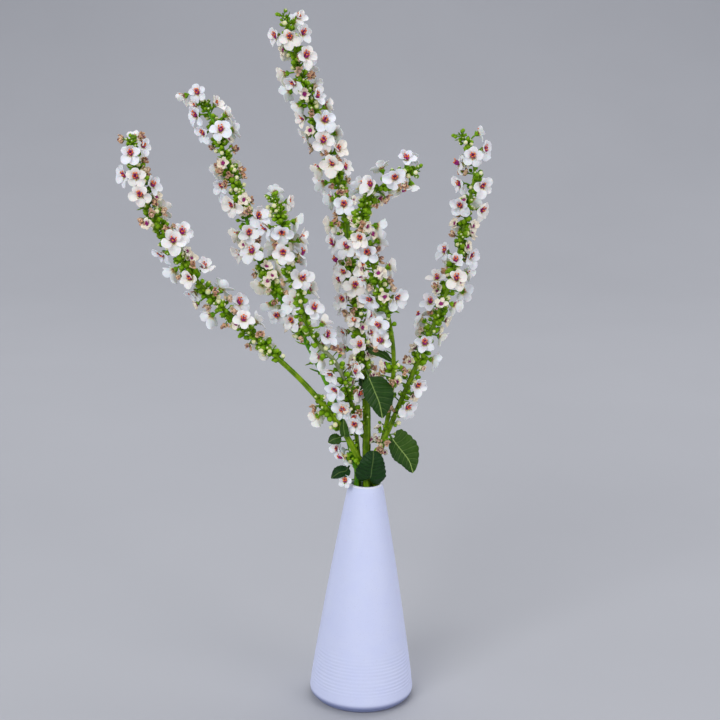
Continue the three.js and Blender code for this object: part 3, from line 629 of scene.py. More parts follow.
class Dress:
    """The pieces of one stem while they are gathered."""

    def __init__(self, seed):
        self.random = np.random.default_rng(seed)
        self.petals, self.faded, self.wool, self.anthers = Skin(), Skin(), Skin(), Skin()
        self.greens, self.buds, self.stem = Skin(), Skin(), Skin()
        self.petal = Lobes(8, 6, 0.3, base=0.3, peak=0.6, tip=0.55, pull=0.07)
        self.withered = Lobes(6, 4, 0.35, base=0.5, peak=0.6, tip=0.55, pull=0.12)
        self.crumpled = Lobes(5, 4, 0.4, base=0.6, peak=0.5, tip=0.55, pull=0.1)
        self.sepal = Lobes(4, 3, 0.5, base=0.75, peak=0.35, tip=0.1, keeled=True)
        self.young_sepal = Lobes(3, 3, 0.45, base=0.75, peak=0.4, tip=0.1, keeled=True)
        self.bract = Lobes(7, 3, 0.5, base=0.3, peak=0.35, tip=0.06, keeled=True)
        self.stalks, self.stalk_radii, self.stalk_kin, self.filaments = [], [], [], []

    def even(self, low=0.0, high=1.0):
        return self.random.uniform(low, high)

    def fan(self, g, count, stray, start=0, turn=0.0):
        """The directions out and sideways of parts round a growth's axis, each a little off its place."""
        for k in range(count):
            yield g.directions(2 * math.pi * (k + start + self.even(-stray, stray)) / count + turn)

    def sepals(self, g, kin, back, size, slope, curl, lobes=None):
        """The five parts of a calyx that starts behind the heart."""
        for out, side in self.fan(g, 5, 0.1, turn=0.6):
            (lobes or self.sepal).add(
                g.heart - g.axis * back, out, side, g.axis,
                start=size * 0.22, length=size * self.even(0.9, 1.15), width=size * 0.37,
                slope=slope + self.even(-0.12, 0.12), curl=curl + self.even(-0.15, 0.15),
                hollow=0.5, tint=self.even(), own=self.even(), kin=kin)

    def stalk(self, g, kin, back, radius):
        end = g.heart - g.axis * back
        bend = end - g.axis * min(4.0, 0.5 * np.linalg.norm(end - g.root))
        self.stalks.append(hooked(g.root, bend, end, STALK_RINGS))
        self.stalk_radii.append(np.linspace(radius * 0.9, radius * 1.4, STALK_RINGS))
        self.stalk_kin.append(kin)

    def blob(self, skin, middle, axis, half, radius, kin, tint, rows=4, sides=6, lobes=0.0, top=1.0,
             along=None):
        """A bud, a capsule or an anther: a closed body of revolution, with lobes along it."""
        t = np.linspace(-0.96, 0.96, rows)
        radii = radius * (1 - np.abs(t) ** 2.2) ** 0.5 * (1 + (top - 1) * t)
        spine = middle + axis * half * t[:, None]
        net = tube_net(spine[None], radii[None], sides)
        if lobes:
            swell = 1 + lobes * np.cos(round_turn(sides) * 5)
            net = spine[:, None] + (net - spine[:, None]) * swell[:, None]
        form = (0.5, tint) if along is None else (along, 0.5, tint)
        add_tubes(skin, net, form, (1, self.even(), kin), graded=along is None)

    def woolly_stamens(self, g, kin, spread, rise, hairs, fresh=True):
        """Five filaments clad in wool that lean to the bloom's top, where their anthers crowd."""
        top = g.top()
        for out, side in self.fan(g, 5, 0.15, start=0.5):
            foot = g.heart + out * 0.08 * g.radius - g.axis * 0.02 * g.radius
            reach = self.even(0.8, 1.2)
            end = g.heart + (out * spread + g.axis * rise * reach + top * 0.09) * g.radius
            bend = g.heart + (out * spread * 0.9 + g.axis * rise * 0.4) * g.radius
            line = hooked(foot, bend, end, len(FILAMENT_RADII))
            self.filaments.append(line)
            roots = at_places(np.sort(self.random.uniform(0.25, 1.0, hairs)) * (len(line) - 1), line)
            tips = hair_tips(self.random, roots, unit(end - foot) * 0.35, 1, 1.1, 1.9)
            add_hairs(self.wool, roots, tips, 0.23, (0.5, self.even()), (1, self.even(), kin))
            if fresh:
                across = unit(side + g.axis * self.even(-0.3, 0.3))
                perch = end + g.axis * self.even(0.3, 0.7) + top * self.even(0.4, 1.0) + out * 0.35
                self.blob(self.anthers, perch, across, self.even(0.8, 1.0), 0.66, kin, self.even())

    def bloom(self, g):
        kin, tint = self.even(), self.even() ** 1.5
        r, cup, letter = g.radius, g.kind["cup"], g.letter
        depth = max(2.2, r * (0.3 - min(cup, 0) * 1.5))
        g.axis = unit(g.axis + self.random.normal(size=3) * 0.16)
        top = g.top()
        deeper = self.even(-0.1, 0.34) if letter in "OH" else 0.0
        folded = int(self.even(0, 12))  # the number of a petal that has folded over, if it has such a one
        start = 0.07 * r
        for k, ((out, side), (size, height)) in enumerate(zip(self.fan(g, 5, 0.07), g.petals)):
            size *= (1.0 - 0.09 * (out @ top)) * self.even(0.94, 1.08)  # the lower petals are the longer ones
            height += deeper * r
            bend = bent(PETAL_CURL[letter] + self.even(-0.45, 0.45), 0.05)
            rear = 0.34 * (out @ top) + self.even(-0.2, 0.2)  # the upper petals rear up
            if k == folded:
                bend, rear = 1.5, rear + self.even(-0.2, 0.5)
            self.petal.add(
                g.heart, out, side, g.axis, start=start,
                length=arc_length(math.hypot(size - start, height), bend), width=size * self.even(0.39, 0.47),
                slope=math.atan2(height, size - start) - bend / 2 + rear,
                curl=bend, hollow=self.even(0.05, 0.5) + (0.2 if letter == "C" else 0.0),
                lean=self.even(-0.05, 0.2), ruffle=self.even(0.02, 0.06), crumple=self.even(0.0, 0.015),
                phase=self.even(0, 6.28), tint=tint, own=self.even(), kin=kin)
        # The throat closes the middle, and the tube behind it draws in to the calyx.
        self.blob(self.petals, g.heart - g.axis * 0.1, g.axis, 0.06 * r, 0.15 * r, kin, tint, rows=5, sides=8,
                  along=0.02)
        t = np.linspace(0, 1, 4)
        net = tube_net((g.heart - g.axis * (0.25 + (depth - 0.25) * t[:, None]))[None],
                       ((0.16 * r) * (1 - t) + 1.0 * t)[None], 6)
        add_tubes(self.petals, net, (0.16, 0.5, tint), (0, 0.5, kin), graded=False)
        if letter == "T":
            self.woolly_stamens(g, kin, spread=0.15, rise=0.5, hairs=SWEPT_BLOOM_HAIRS)
        else:
            self.woolly_stamens(g, kin, spread=0.17, rise=0.34, hairs=BLOOM_HAIRS)
        self.blob(self.greens, g.heart + g.axis * 0.4, g.axis, 0.8, 0.55, kin, 0.9)
        self.sepals(g, kin, depth, 3.4, slope=0.75, curl=0.35)
        self.stalk(g, kin, depth, 0.6)

    def star(self, g):
        """A withering bloom: narrow rolled cream points round a dark middle."""
        kin, tint = self.even(), self.even(0, 0.4)
        for (out, side), (size, height) in zip(self.fan(g, 5, 0.12), g.petals):
            bend = bent(self.even(-1.6, 1.7), 0.1)
            self.withered.add(
                g.heart, out, side, g.axis, start=0.5,
                length=arc_length(math.hypot(size - 0.5, height), bend),
                width=size * self.even(0.36, 0.54), curl=bend,
                slope=math.atan2(height, size) - bend / 2 + self.even(-0.4, 0.4),
                hollow=self.even(0.1, 1.0), ruffle=self.even(0.05, 0.14), crumple=self.even(0.04, 0.1),
                phase=self.even(0, 6.28), tint=tint, own=self.even(), kin=kin)
        self.woolly_stamens(g, kin, spread=0.22, rise=0.3, hairs=WITHERED_HAIRS, fresh=False)
        self.blob(self.faded, g.heart, g.axis, 0.9, 1.2, kin, 0.75, rows=5)
        self.sepals(g, kin, 2.2, 3.0, slope=0.8, curl=0.35)
        self.stalk(g, kin, 2.2, 0.55)

    def spent(self, g):
        """A faded bloom crumpled into a tan ball, with some purple wool left."""
        kin, tint = self.even(), self.even(0.45, 1)
        r = g.radius * 0.88
        for out, side in self.fan(g, 6, 0.25):
            self.crumpled.add(
                g.heart - g.axis * 0.4 * r, out, side, g.axis, start=0.25 * r, length=r * self.even(1.5, 2.3),
                width=r * self.even(0.5, 0.75), slope=self.even(-0.1, 1.1), curl=self.even(0.2, 2.0),
                hollow=self.even(-0.4, 0.5), ruffle=self.even(0.05, 0.12), crumple=self.even(0.05, 0.12),
                phase=self.even(0, 6.28), tint=tint, own=self.even(), kin=kin)
        middle = g.heart + g.axis * 0.2 * r
        self.blob(self.faded, middle, g.axis, 0.55 * r, 0.6 * r, kin, tint, rows=5, sides=7, lobes=0.12)
        roots = g.heart + g.axis * 0.5 * r + self.random.normal(size=(SPENT_HAIRS, 3)) * 0.3 * r
        tips = hair_tips(self.random, roots, g.axis * 0.9, 1, 0.5, 1.3)
        add_hairs(self.wool, roots, tips, 0.17, (0.5, self.even()), (1, self.even(), kin))
        self.sepals(g, kin, 0.55 * r, 2.8, slope=0.75, curl=0.5)
        self.stalk(g, kin, 0.5 * r, 0.5)

    def bud(self, g):
        """A round pale bud in its calyx, with the petals' folds along it."""
        kin, r = self.even(), g.radius
        self.blob(self.buds, g.heart + g.axis * 0.35 * r, g.axis, 1.02 * r, 0.92 * r, kin, self.even(),
                  rows=7, sides=10, lobes=0.035, top=1.08)
        self.sepals(g, kin, 0.55 * r, 1.25 * r, slope=0.7, curl=0.8)
        self.stalk(g, kin, 0.5 * r, 0.48)

    def green_calyx(self, g):
        """A young bud or a seed capsule shut in its green calyx, from which now and then a bud peeps."""
        kin, r = self.even(), g.radius
        self.blob(self.greens, g.heart + g.axis * 0.3 * r, g.axis, 1.15 * r, 1.0 * r, kin, self.even(0.3, 1),
                  sides=5)
        if kin > 0.68:
            self.blob(self.buds, g.heart + g.axis * 1.0 * r, g.axis, 0.55 * r, 0.54 * r, kin, self.even())
        self.sepals(g, kin, 0.65 * r, 1.7 * r, slope=0.95, curl=0.85, lobes=self.young_sepal)
        self.stalk(g, kin, 0.6 * r, 0.42)

    def leafy_bract(self, g):
        out, side = unit(g.axis), unit(np.cross(g.up, g.axis))
        length = g.kind["length"]
        self.bract.add(
            g.root + g.outward * 0.8, out, side, unit(np.cross(out, side)), length=length,
            width=min(1.7, length * 0.17), slope=self.even(-0.2, 0.25), curl=self.even(-1.1, 0.9),
            hollow=0.45, ruffle=0.02, phase=self.even(0, 6.28), tint=self.even(0.1, 1),
            own=self.even(), kin=self.even())

    def grow(self, growths):
        makers = dict(bloom=self.bloom, star=self.star, spent=self.spent, bud=self.bud,
                      calyx=self.green_calyx, bract=self.leafy_bract)
        for g in growths:
            makers[g.kind["form"]](g)
        for lobes, skin in ((self.petal, self.petals), (self.withered, self.faded),
                            (self.crumpled, self.faded), (self.sepal, self.greens),
                            (self.young_sepal, self.greens), (self.bract, self.greens)):
            lobes.into(skin)
        kin = np.array(self.stalk_kin)[:, None, None]
        add_tubes(self.greens, tube_net(np.array(self.stalks), np.array(self.stalk_radii), 4),
                  np.concatenate([kin, 0.25 + 0.4 * kin], axis=-1), (1, 0.5, 0.5))
        add_tubes(self.wool, tube_net(np.array(self.filaments), FILAMENT_RADII, 4), (0.5, 0.4), (1, 0.5, 0.5))

    def grow_stem(self, stem):
        """The main stem: a ribbed tube with a cut foot, a tapering tip and short hairs."""
        course = Course(stem["path"], 10)
        line, share = course.line, course.along / course.length
        radii = radius_at(stem["radii"], share)
        radii[-6:] *= np.linspace(1, 0.45, 6)
        turn = round_turn(STEM_SIDES)
        knees = 0.05 * np.sin(course.along / 4.1) * np.sin(course.along / 2.3)
        swell = 1 + stem["ribs"] * np.cos(STEM_RIBS * turn) + knees[:, None]
        net = tube_net(line[None], radii[None], STEM_SIDES, helper=-FRONTWARD)
        net = line[:, None] + (net - line[:, None]) * swell[..., None]
        way_round = np.append(np.tile(turn, len(line)), turn[[0, -1]])[:, None] / RIB_UNIT
        add_tubes(self.stem, net, way_round * (1, 0), (1, 0.5, 0))
        lowest = np.interp(HAIRS_FROM, line[:, 2], course.along) / course.length
        at = np.sort(self.random.uniform(lowest, 0.97, STEM_HAIRS))
        angle = self.random.uniform(0, 2 * np.pi, STEM_HAIRS)[:, None]
        places = np.interp(at, share, np.arange(len(line)))
        u, v = square_to(unit(np.gradient(line, axis=0))[places.astype(int)], -FRONTWARD)
        out = np.cos(angle) * u + np.sin(angle) * v
        roots = at_places(places, line) + out * np.interp(at, share, radii)[:, None] * 0.92
        tips = hair_tips(self.random, roots, out, 0.5, 0.5, 1.1)
        add_hairs(self.stem, roots, tips, 0.055, (0, 0.5), (0, 1, 0))


# ---- Leaves ----
LEAF_VEINS = 8.0  # pairs of side veins
VEIN_SWEEP = 0.17  # how far a side vein runs towards the tip on its way to the edge, as a share of the blade
# A leaf wider than this gets the first net and number of hairs, and any other the second.
LARGE_LEAF = 15
LEAF_NETS = ((110, 23), (60, 13))
LEAF_HAIRS = (300, 120)


def leaf_skin(leaf):
    """A crenate blade quilted between its veins, on a stout stalk that runs on as the midrib."""
    stem = next(s for s in STEMS if s["name"] == leaf["stem"])
    course = Course(stem["path"], 2)
    point, _, front, right = course.at(leaf["at"])
    angle = math.radians(leaf["angle"])
    clear = radius_at(stem["radii"], leaf["at"] / course.length) + LEAF_GAP
    start = point + front * clear * math.cos(angle) + right * clear * math.sin(angle)
    size = 0 if leaf["width"] > LARGE_LEAF else 1
    rows, columns = LEAF_NETS[size]
    facing = np.array(leaf["facing"], float)
    share = np.linspace(0, 1, rows)
    middle = Course((tuple(start), *leaf["midrib"]), 12).evenly(share)
    run = unit(unit(np.gradient(middle, axis=0)) + 2 * unit(middle[-1] - middle[rows // 5]))
    side = unit(np.cross(facing, run))
    normal = np.cross(run, side)
    # u runs from the stalk's end to the tip, q across from -1 to 1, and v from the midrib to either edge.
    blade = np.clip((share - leaf["stalk"]) / (1 - leaf["stalk"]), 0, 1)
    q = np.linspace(-1, 1, columns)[None, :]
    u = blade[:, None] * np.ones_like(q)
    v = np.abs(q) * np.ones_like(u)
    scallop = np.abs(np.sin(np.pi * leaf["teeth"] * blade ** 0.92)) ** 0.6 - 0.6
    full = leaf.get("full", 0.74)
    smooth_half = leaf["width"] / 2 * np.sin(np.pi * blade**full) ** (full - 0.04)
    half = np.maximum(smooth_half * (1 + 0.075 * scallop), 0.75)[:, None]
    half = half * (1 + leaf.get("skew", 0.0) * np.sign(q))
    phase = (u - VEIN_SWEEP * v) * LEAF_VEINS
    off_vein = 1 - np.abs(2 * (phase - np.floor(phase)) - 1)  # 0 on a side vein, 1 midway between two
    on_blade = smooth(0.0, 0.12, u) * smooth(0.0, 0.05, 1 - u)
    puff = (np.sqrt(off_vein) - 0.6) * smooth(0.03, 0.3, v) * (1 - 0.5 * v)
    groove = -np.exp(-((v * half / 0.9) ** 2))
    relief = on_blade * (leaf["width"] * 0.05 * puff + 0.35 * groove)
    wave = 0.14 * half * np.sin(u * 13 + np.sign(q) * 1.1) * v**2.5
    rise = leaf["fold"] * half * v**1.5 + relief + wave * on_blade
    left_ear, right_ear = leaf.get("ears", (0.15, 0.15))
    ear = np.where(q > 0, right_ear, left_ear) * half * v**2 * (1 - u) ** 2 * smooth(0.0, 0.05, u)
    ear += leaf.get("hem", 0.0) * half * 2.6 * v * (1 - v**2) * (1 - u) ** 8 * smooth(0.0, 0.02, u)
    net = (
        middle[:, None] + side[:, None] * (q * half)[..., None] + normal[:, None] * rise[..., None]
        - run[:, None] * ear[..., None])
    thickness = (0.45 + 0.75 * (1 - smooth(0.0, 0.15, blade)))[None, :, None, None]
    skin = Skin()
    ones = np.ones_like(u)
    # Painted highlights and painted shade: the quilted bulges between the side veins are painted lighter and
    # the lines of the veins darker.
    # Painted light: the right half is made lighter, as where the light catches it.
    tint = np.clip(leaf["tone"] + leaf.get("painted_light", 0.0) * q + 0.35 * puff, 0, 1)
    add_shells(skin, net[None], thickness, np.stack([u, (q + 1) / 2 * ones, tint], -1)[None],
               np.stack([ones, half * ones / 12.5, ones * leaf["rib"]], -1)[None])
    keel = middle - normal * 0.35
    radii = 0.6 * (1 - 0.8 * share) + 0.06
    add_tubes(skin, tube_net(keel[None], radii[None], 6, facing), (0.5, leaf["tone"]), (0, 0, leaf["rib"]))
    # Fine hairs along the edge and stalk.
    count = LEAF_HAIRS[size]
    random = np.random.default_rng(len(leaf["name"]) * 7 + leaf["width"])
    i = random.integers(0, rows, count)
    j = random.choice([0, columns - 1], count)
    tips = hair_tips(random, net[i, j], side[i] * np.where(j == 0, -1, 1)[:, None], 0.6, 0.3, 0.7)
    add_hairs(skin, net[i, j], tips, 0.03, (0.5, leaf["tone"]), (0, 0, leaf["rib"]))
    return skin


# ---- Vase ----
VASE_SIDES = 84


def outside_radius(z):
    t = (z - VASE["widest_at"]) / (VASE["height"] - VASE["widest_at"])
    return VASE["widest"] + (VASE["lip"] - VASE["widest"]) * t + VASE["bulge"] * 4 * t * (1 - t)


def throwing_rings(z):
    """How far the low ridges that the potter's fingers left above the foot stand out, and the faint
    unevenness of the side above them."""
    zone = smooth(13, 19, z) * (1 - smooth(42, 58, z))
    ridge = np.sin(2 * np.pi * z / 3.2 + 0.6 * np.sin(z * 0.31))
    faint = 0.03 * np.sin(z * 0.83) * np.sin(z * 0.29 + 1)
    return 0.16 * zone * ridge, 0.3 * faint * smooth(12, 30, z)


def vase_skin():
    """One turned body: under the foot, up the outside, over the lip and down the inside."""
    foot, widest, widest_at, tall, wall = (VASE[k] for k in ("foot", "widest", "widest_at", "height", "wall"))
    profile = [(0.6, 0.35), (foot - 9, 0.35), (foot - 8.2, 0.0), (foot - 1.6, 0.0), (foot - 1.1, 0.12)]
    for a in np.linspace(0.12, math.pi / 2, 30):  # the domed edge above the foot ring's turned line
        z = widest_at * (1 - math.cos(a))
        ring = 1.2 * (1 - smooth(4.3, 4.9, z)) + 0.5 * math.exp(-(((z - 4.5) / 0.4) ** 2))
        profile.append((foot + (widest - foot) * math.sin(a) - ring, z))
    for z in (*np.arange(widest_at + 0.5, 60, 0.45), *np.arange(60.5, tall - wall / 2, 4.0)):
        ridge, faint = throwing_rings(z)
        profile.append((outside_radius(z) + faint, z, ridge))
    lip = wall / 2
    for a in np.linspace(0, math.pi, 13):
        profile.append((outside_radius(tall) - lip + lip * math.cos(a), tall - lip + lip * math.sin(a)))
    profile += [(outside_radius(z) - wall, z) for z in np.arange(190, 15, -10.0)]
    profile += [(foot - wall + 1, 8.5), (foot - wall - 2, VASE["floor"]), (0.6, VASE["floor"])]
    radius, height, ridges = (np.array([(*p, 0.0)[k] for p in profile])[:, None] for k in range(3))
    turn = round_turn(VASE_SIDES)
    pressed = 0.6 + 0.4 * np.cos(2 * turn)  # the ridges all but vanish at the front and the back
    radius = radius * (1 + 0.0012 * np.sin(turn * 2 + 0.7) * height / tall) + ridges * pressed
    net = np.stack(np.broadcast_arrays(radius * np.cos(turn), radius * np.sin(turn), height), -1)
    skin = Skin()
    add_tubes(skin, net[None], (0, 0), (1, 0, 0))
    return skin


# ---- Materials ----
def tone(red, green, blue):
    """An 8-bit screen colour as the linear one that a shader takes."""
    return tuple(c / 255 / 12.92 if c < 10.3 else ((c / 255 + 0.055) / 1.055) ** 2.4
                 for c in (red, green, blue))


class Look:
    """A procedural material, built out from its Principled shader. Its colour is painted on in coats."""

    def __init__(self, name, **sockets):
        self.material = bpy.data.materials.new(name)
        self.material.use_nodes = True
        self.nodes, self.links = self.material.node_tree.nodes, self.material.node_tree.links
        self.shader = self.nodes["Principled BSDF"]
        for socket, value in sockets.items():
            self.shader.inputs[socket.replace("_", " ")].default_value = value

    def put(self, socket, value):
        """Gives a socket another socket's value, a number, or an 8-bit colour."""
        if isinstance(value, bpy.types.NodeSocket):
            self.links.new(value, socket)
        else:
            socket.default_value = (*tone(*value), 1) if socket.type == "RGBA" else value

    def node(self, kind, *inputs, **settings):
        made = self.nodes.new("ShaderNode" + kind)
        for name, value in settings.items():
            setattr(made, name, value)
        for socket, value in zip(made.inputs, inputs):
            if value is not None:
                self.put(socket, value)
        return made

    def math(self, operation, *inputs, clamp=False):
        return self.node("Math", *inputs, operation=operation, use_clamp=clamp).outputs[0]

    def times(self, *factors):
        return self.math("MULTIPLY", *factors)

    def rest(self, share):
        """What a share leaves of 1."""
        return self.math("SUBTRACT", 1.0, share)

    def step(self, value, low, high):
        """0 below low, 1 above high and an even S between."""
        return self.node("MapRange", value, low, high, interpolation_type="SMOOTHSTEP").outputs[0]

    def stripes(self, value, pace, low):
        """1 in the middle of even stripes across value and 0 between them; the lower low, the broader."""
        return self.step(self.math("SINE", self.times(value, pace)), low, 1.0)

    def mix(self, factor, a, b):
        return self.node("Mix", factor, *[None] * 5, a, b, data_type="RGBA").outputs[2]

    def split(self, name):
        """The three numbers of a mesh attribute."""
        attribute = self.node("Attribute", attribute_name=name)
        return self.node("SeparateXYZ", attribute.outputs["Vector"]).outputs

    def place(self):
        return self.node("TexCoord").outputs["Object"]

    def height(self):
        return self.node("SeparateXYZ", self.place()).outputs["Z"]

    def noise(self, scale, detail=2.0, vector=None):
        return self.node("TexNoise", vector or self.place(), None, scale, detail).outputs["Fac"]

    def ground(self, factor, a, b):
        """The first coat of colour."""
        self.coat = self.mix(factor, a, b)

    def paint(self, colour, cover, strength=None):
        """One more coat, as thick as cover, or as a share of it."""
        self.coat = self.mix(cover if strength is None else self.times(cover, strength), self.coat, colour)

    def done(self, relief, distance, strength):
        """The material, with its coats of colour and its bumps."""
        self.put(self.shader.inputs["Base Color"], self.coat)
        bump = self.nodes.new("ShaderNodeBump")
        for socket, value in (("Height", relief), ("Distance", distance), ("Strength", strength)):
            self.put(bump.inputs[socket], value)
        self.put(self.shader.inputs["Normal"], bump.outputs["Normal"])
        return self.material


def petal_look():
    """White with a hint of lilac or cream, veined from an olive throat spotted with maroon."""
    look = Look("petal", Roughness=0.6, Specular_IOR_Level=0.25, Sheen_Weight=0.05, Subsurface_Weight=0.1,
                Subsurface_Scale=0.001)
    along, across, tint = look.split("form")
    side, own, _ = look.split("trait")
    look.ground(tint, (244, 248, 255), (254, 247, 236))
    look.paint((246, 244, 248), own, 0.4)
    rays = look.times(look.stripes(across, 58.0, 0.4), look.rest(along))
    look.paint((222, 212, 222), rays, 0.18)
    cloud = look.noise(420.0)
    look.paint((232, 224, 230), look.step(cloud, 0.5, 0.75), 0.2)
    # Behind, the petal is faintly green along one edge.
    edge_share = look.math("SUBTRACT", 0.5, look.times(across, 2.0), clamp=True)
    look.paint((228, 232, 208), look.times(look.rest(side), look.step(edge_share, 0.3, 1.0)), 0.12)
    frayed = look.math("ADD", along, look.times(look.math("SUBTRACT", look.noise(900.0), 0.5), 0.16))
    look.paint((226, 214, 150), look.rest(look.step(frayed, 0.13, 0.36)))
    look.paint((160, 140, 48), look.rest(look.step(frayed, 0.05, 0.22)))
    spots = look.times(look.step(look.noise(1300.0, 1.0), 0.56, 0.62), look.rest(look.step(frayed, 0.2, 0.3)))
    look.paint((120, 24, 60), spots, side)
    return look.done(look.math("ADD", rays, look.times(cloud, 0.6)), 0.00012, 0.5)


def faded_look():
    """Cream withered points to tan and rosy brown crumples, blotched with purple."""
    look = Look("faded", Roughness=0.75, Sheen_Weight=0.2)
    along, across, tint = look.split("form")
    own = look.split("trait")[1]
    cream = look.mix(own, (254, 250, 234), (250, 236, 210))
    tan = look.mix(own, (252, 218, 176), (208, 150, 104))
    look.ground(look.step(tint, 0.35, 0.6), cream, tan)
    look.paint((104, 40, 78), look.rest(look.step(along, 0.08, 0.42)))
    look.paint((140, 92, 74), look.stripes(across, 40.0, 0.3), look.times(tint, 0.4))
    blotches = look.step(look.noise(480.0), 0.54, 0.62)
    look.paint((104, 36, 84), blotches, look.times(look.step(tint, 0.3, 0.7), 0.85))
    return look.done(look.noise(1500.0, 3.0), 0.0002, 0.6)


def wool_look():
    look = Look("wool", Roughness=0.6, Specular_IOR_Level=0.2, Sheen_Weight=0.25, Sheen_Roughness=0.4)
    along, _, tint = look.split("form")
    look.ground(tint, (160, 8, 86), (100, 6, 116))
    look.paint((186, 52, 146), along, 0.6)
    return look.done(look.noise(2500.0), 0.0001, 0.4)


def anther_look():
    look = Look("anther", Roughness=0.6)
    grain = look.noise(4200.0, 1.0)
    tint = look.split("form")[2]
    look.ground(look.times(look.math("ADD", tint, grain), 0.5), (238, 88, 10), (255, 150, 34))
    return look.done(grain, 0.0001, 0.6)


def green_look():
    """Calyces, bracts, stalklets and capsules: fresh yellowish green, darker here and there, softly hairy."""
    look = Look("green", Roughness=0.5, Specular_IOR_Level=0.1, Subsurface_Weight=0.08,
                Subsurface_Scale=0.001)
    along, _, tint = look.split("form")
    look.ground(tint, (66, 124, 0), (134, 180, 14))
    look.paint((92, 122, 10), look.split("trait")[2], 0.35)
    look.paint((156, 186, 52), look.step(along, 0.5, 1.0), 0.4)
    look.paint((50, 98, 8), look.step(look.noise(300.0), 0.5, 0.75), 0.3)
    return look.done(look.noise(2600.0), 0.00015, 0.5)


def bud_look():
    """Cream at the crown, yellowish green towards the calyx."""
    look = Look("bud", Roughness=0.45, Sheen_Weight=0.3, Subsurface_Weight=0.15, Subsurface_Scale=0.0015)
    along, _, tint = look.split("form")
    crown = look.mix(tint, (240, 238, 190), (226, 226, 150))
    look.ground(look.step(along, 0.15, 0.75), (168, 186, 70), crown)
    look.paint((252, 250, 232), look.noise(500.0), 0.25)
    return look.done(look.noise(1800.0), 0.00012, 0.4)


def stem_look(name, low, high, twig=None):
    """Ribbed green with darker streaks; twig names the heights in millimetres where it has turned to bark."""
    look = Look(name, Roughness=0.5, Specular_IOR_Level=0.2)
    streak = look.noise(160.0, 3.0)
    look.ground(look.step(streak, 0.35, 0.7), low, high)
    look.paint((150, 182, 34), look.stripes(look.split("form")[1], RIB_UNIT * STEM_RIBS, -0.4), 0.3)
    if twig:
        z, foot, head = look.height(), *twig
        inside = look.times(look.step(z, (foot - 4) * MM, foot * MM),
                            look.rest(look.step(z, head * MM, (head + 4) * MM)))
        look.paint(look.mix(streak, (118, 128, 84), (166, 174, 132)), inside)
    look.paint((222, 228, 200), look.step(look.split("trait")[1], 0.9, 1.0), 0.75)  # the hairs
    return look.done(look.noise(1400.0, 3.0), 0.0002, 0.45)


def leaf_look():
    """Green blades with a pale midrib, pale side veins and a fine net between them."""
    look = Look("leaf", Specular_IOR_Level=0.2)
    along, across, tint = look.split("form")
    side, half, pale = look.split("trait")
    v = look.math("ABSOLUTE", look.math("SUBTRACT", look.times(across, 2.0), 1.0))
    phase = look.times(look.math("SUBTRACT", along, look.times(v, VEIN_SWEEP)), LEAF_VEINS)
    off = look.math("SUBTRACT", look.math("FRACT", phase), 0.5)
    vein = look.step(look.times(look.math("ABSOLUTE", off), 2.0), 0.78, 0.97)
    vein = look.times(vein, look.rest(look.times(v, 0.75)))
    rib = look.rest(look.step(look.times(v, half), 0.018, 0.048))
    cells = look.node("TexVoronoi", look.place(), None, 620.0, feature="DISTANCE_TO_EDGE")
    net = look.rest(look.step(cells.outputs["Distance"], 0.0, 0.12))
    dark = look.mix(look.noise(150.0, 3.0), (2, 34, 4), (16, 62, 18))
    light = look.mix(look.noise(150.0, 3.0), (34, 66, 4), (66, 102, 16))
    look.ground(tint, dark, light)
    look.paint((60, 106, 38), net, 0.12)
    look.paint((138, 170, 84), look.times(vein, pale), 0.5)
    rib_colour = look.mix(look.step(along, 0.0, 0.03), (96, 130, 40), (164, 190, 100))
    look.paint(rib_colour, rib, look.times(pale, 1.2))
    look.paint((90, 122, 66), look.rest(side), 0.5)
    roughness = look.math("ADD", 0.3, look.times(look.noise(700.0), 0.25))
    look.put(look.shader.inputs["Roughness"], roughness)
    return look.done(look.math("SUBTRACT", look.noise(900.0, 3.0), look.times(net, 0.5)), 0.0003, 0.45)


def ceramic_look():
    """Satin white stoneware with a cool cast, faint mottling and fine turning lines."""
    look = Look("ceramic", Specular_IOR_Level=0.42, Coat_Weight=0.08, Coat_Roughness=0.4)
    z = look.height()
    look.ground(look.noise(60.0, 4.0), (214, 221, 255), (223, 229, 255))
    stretched = look.node("VectorMath", look.place(), (1, 1, 24), operation="MULTIPLY").outputs[0]
    look.paint((200, 200, 232), look.step(look.noise(38.0, 3.0, stretched), 0.55, 0.75), 0.06)
    look.paint((150, 140, 150), look.step(look.noise(1500.0, 0.0), 0.74, 0.8), 0.18)
    # Painted shade: the band below the domed edge, where the foot turns under, and the groove above the foot
    # ring are painted darker.
    look.paint((108, 120, 168), look.rest(look.step(z, 5.5 * MM, 9.4 * MM)), 0.8)  # shaded below the edge
    groove = look.math("SUBTRACT", look.step(z, 3.9 * MM, 4.4 * MM), look.step(z, 4.7 * MM, 5.2 * MM))
    look.paint((56, 66, 108), groove, 0.75)
    # Painted highlight: the rounded lip is painted lighter.
    look.paint((242, 242, 252), look.step(z, 198.3 * MM, 199.0 * MM), 0.7)  # the lip
    roughness = look.math("ADD", 0.46, look.times(look.noise(900.0, 3.0), 0.16))
    look.put(look.shader.inputs["Roughness"], roughness)
    lines = look.math("SINE", look.times(z, 5200.0))
    return look.done(look.math("ADD", look.noise(1100.0, 3.0), look.times(lines, 0.05)), 0.00012, 0.3)


def water_look():
    look = Look("still_water", Roughness=0.03, IOR=1.333, Transmission_Weight=1.0)
    look.ground(look.noise(30.0), (214, 232, 232), (226, 240, 240))
    return look.done(look.noise(90.0), 0.0001, 0.1)


def floor_look():
    look = Look("floor_paper", Roughness=0.85, Specular_IOR_Level=0.2)
    look.ground(look.noise(3.0), (182, 183, 188), (188, 189, 194))
    return look.done(look.noise(700.0), 0.0002, 0.15)


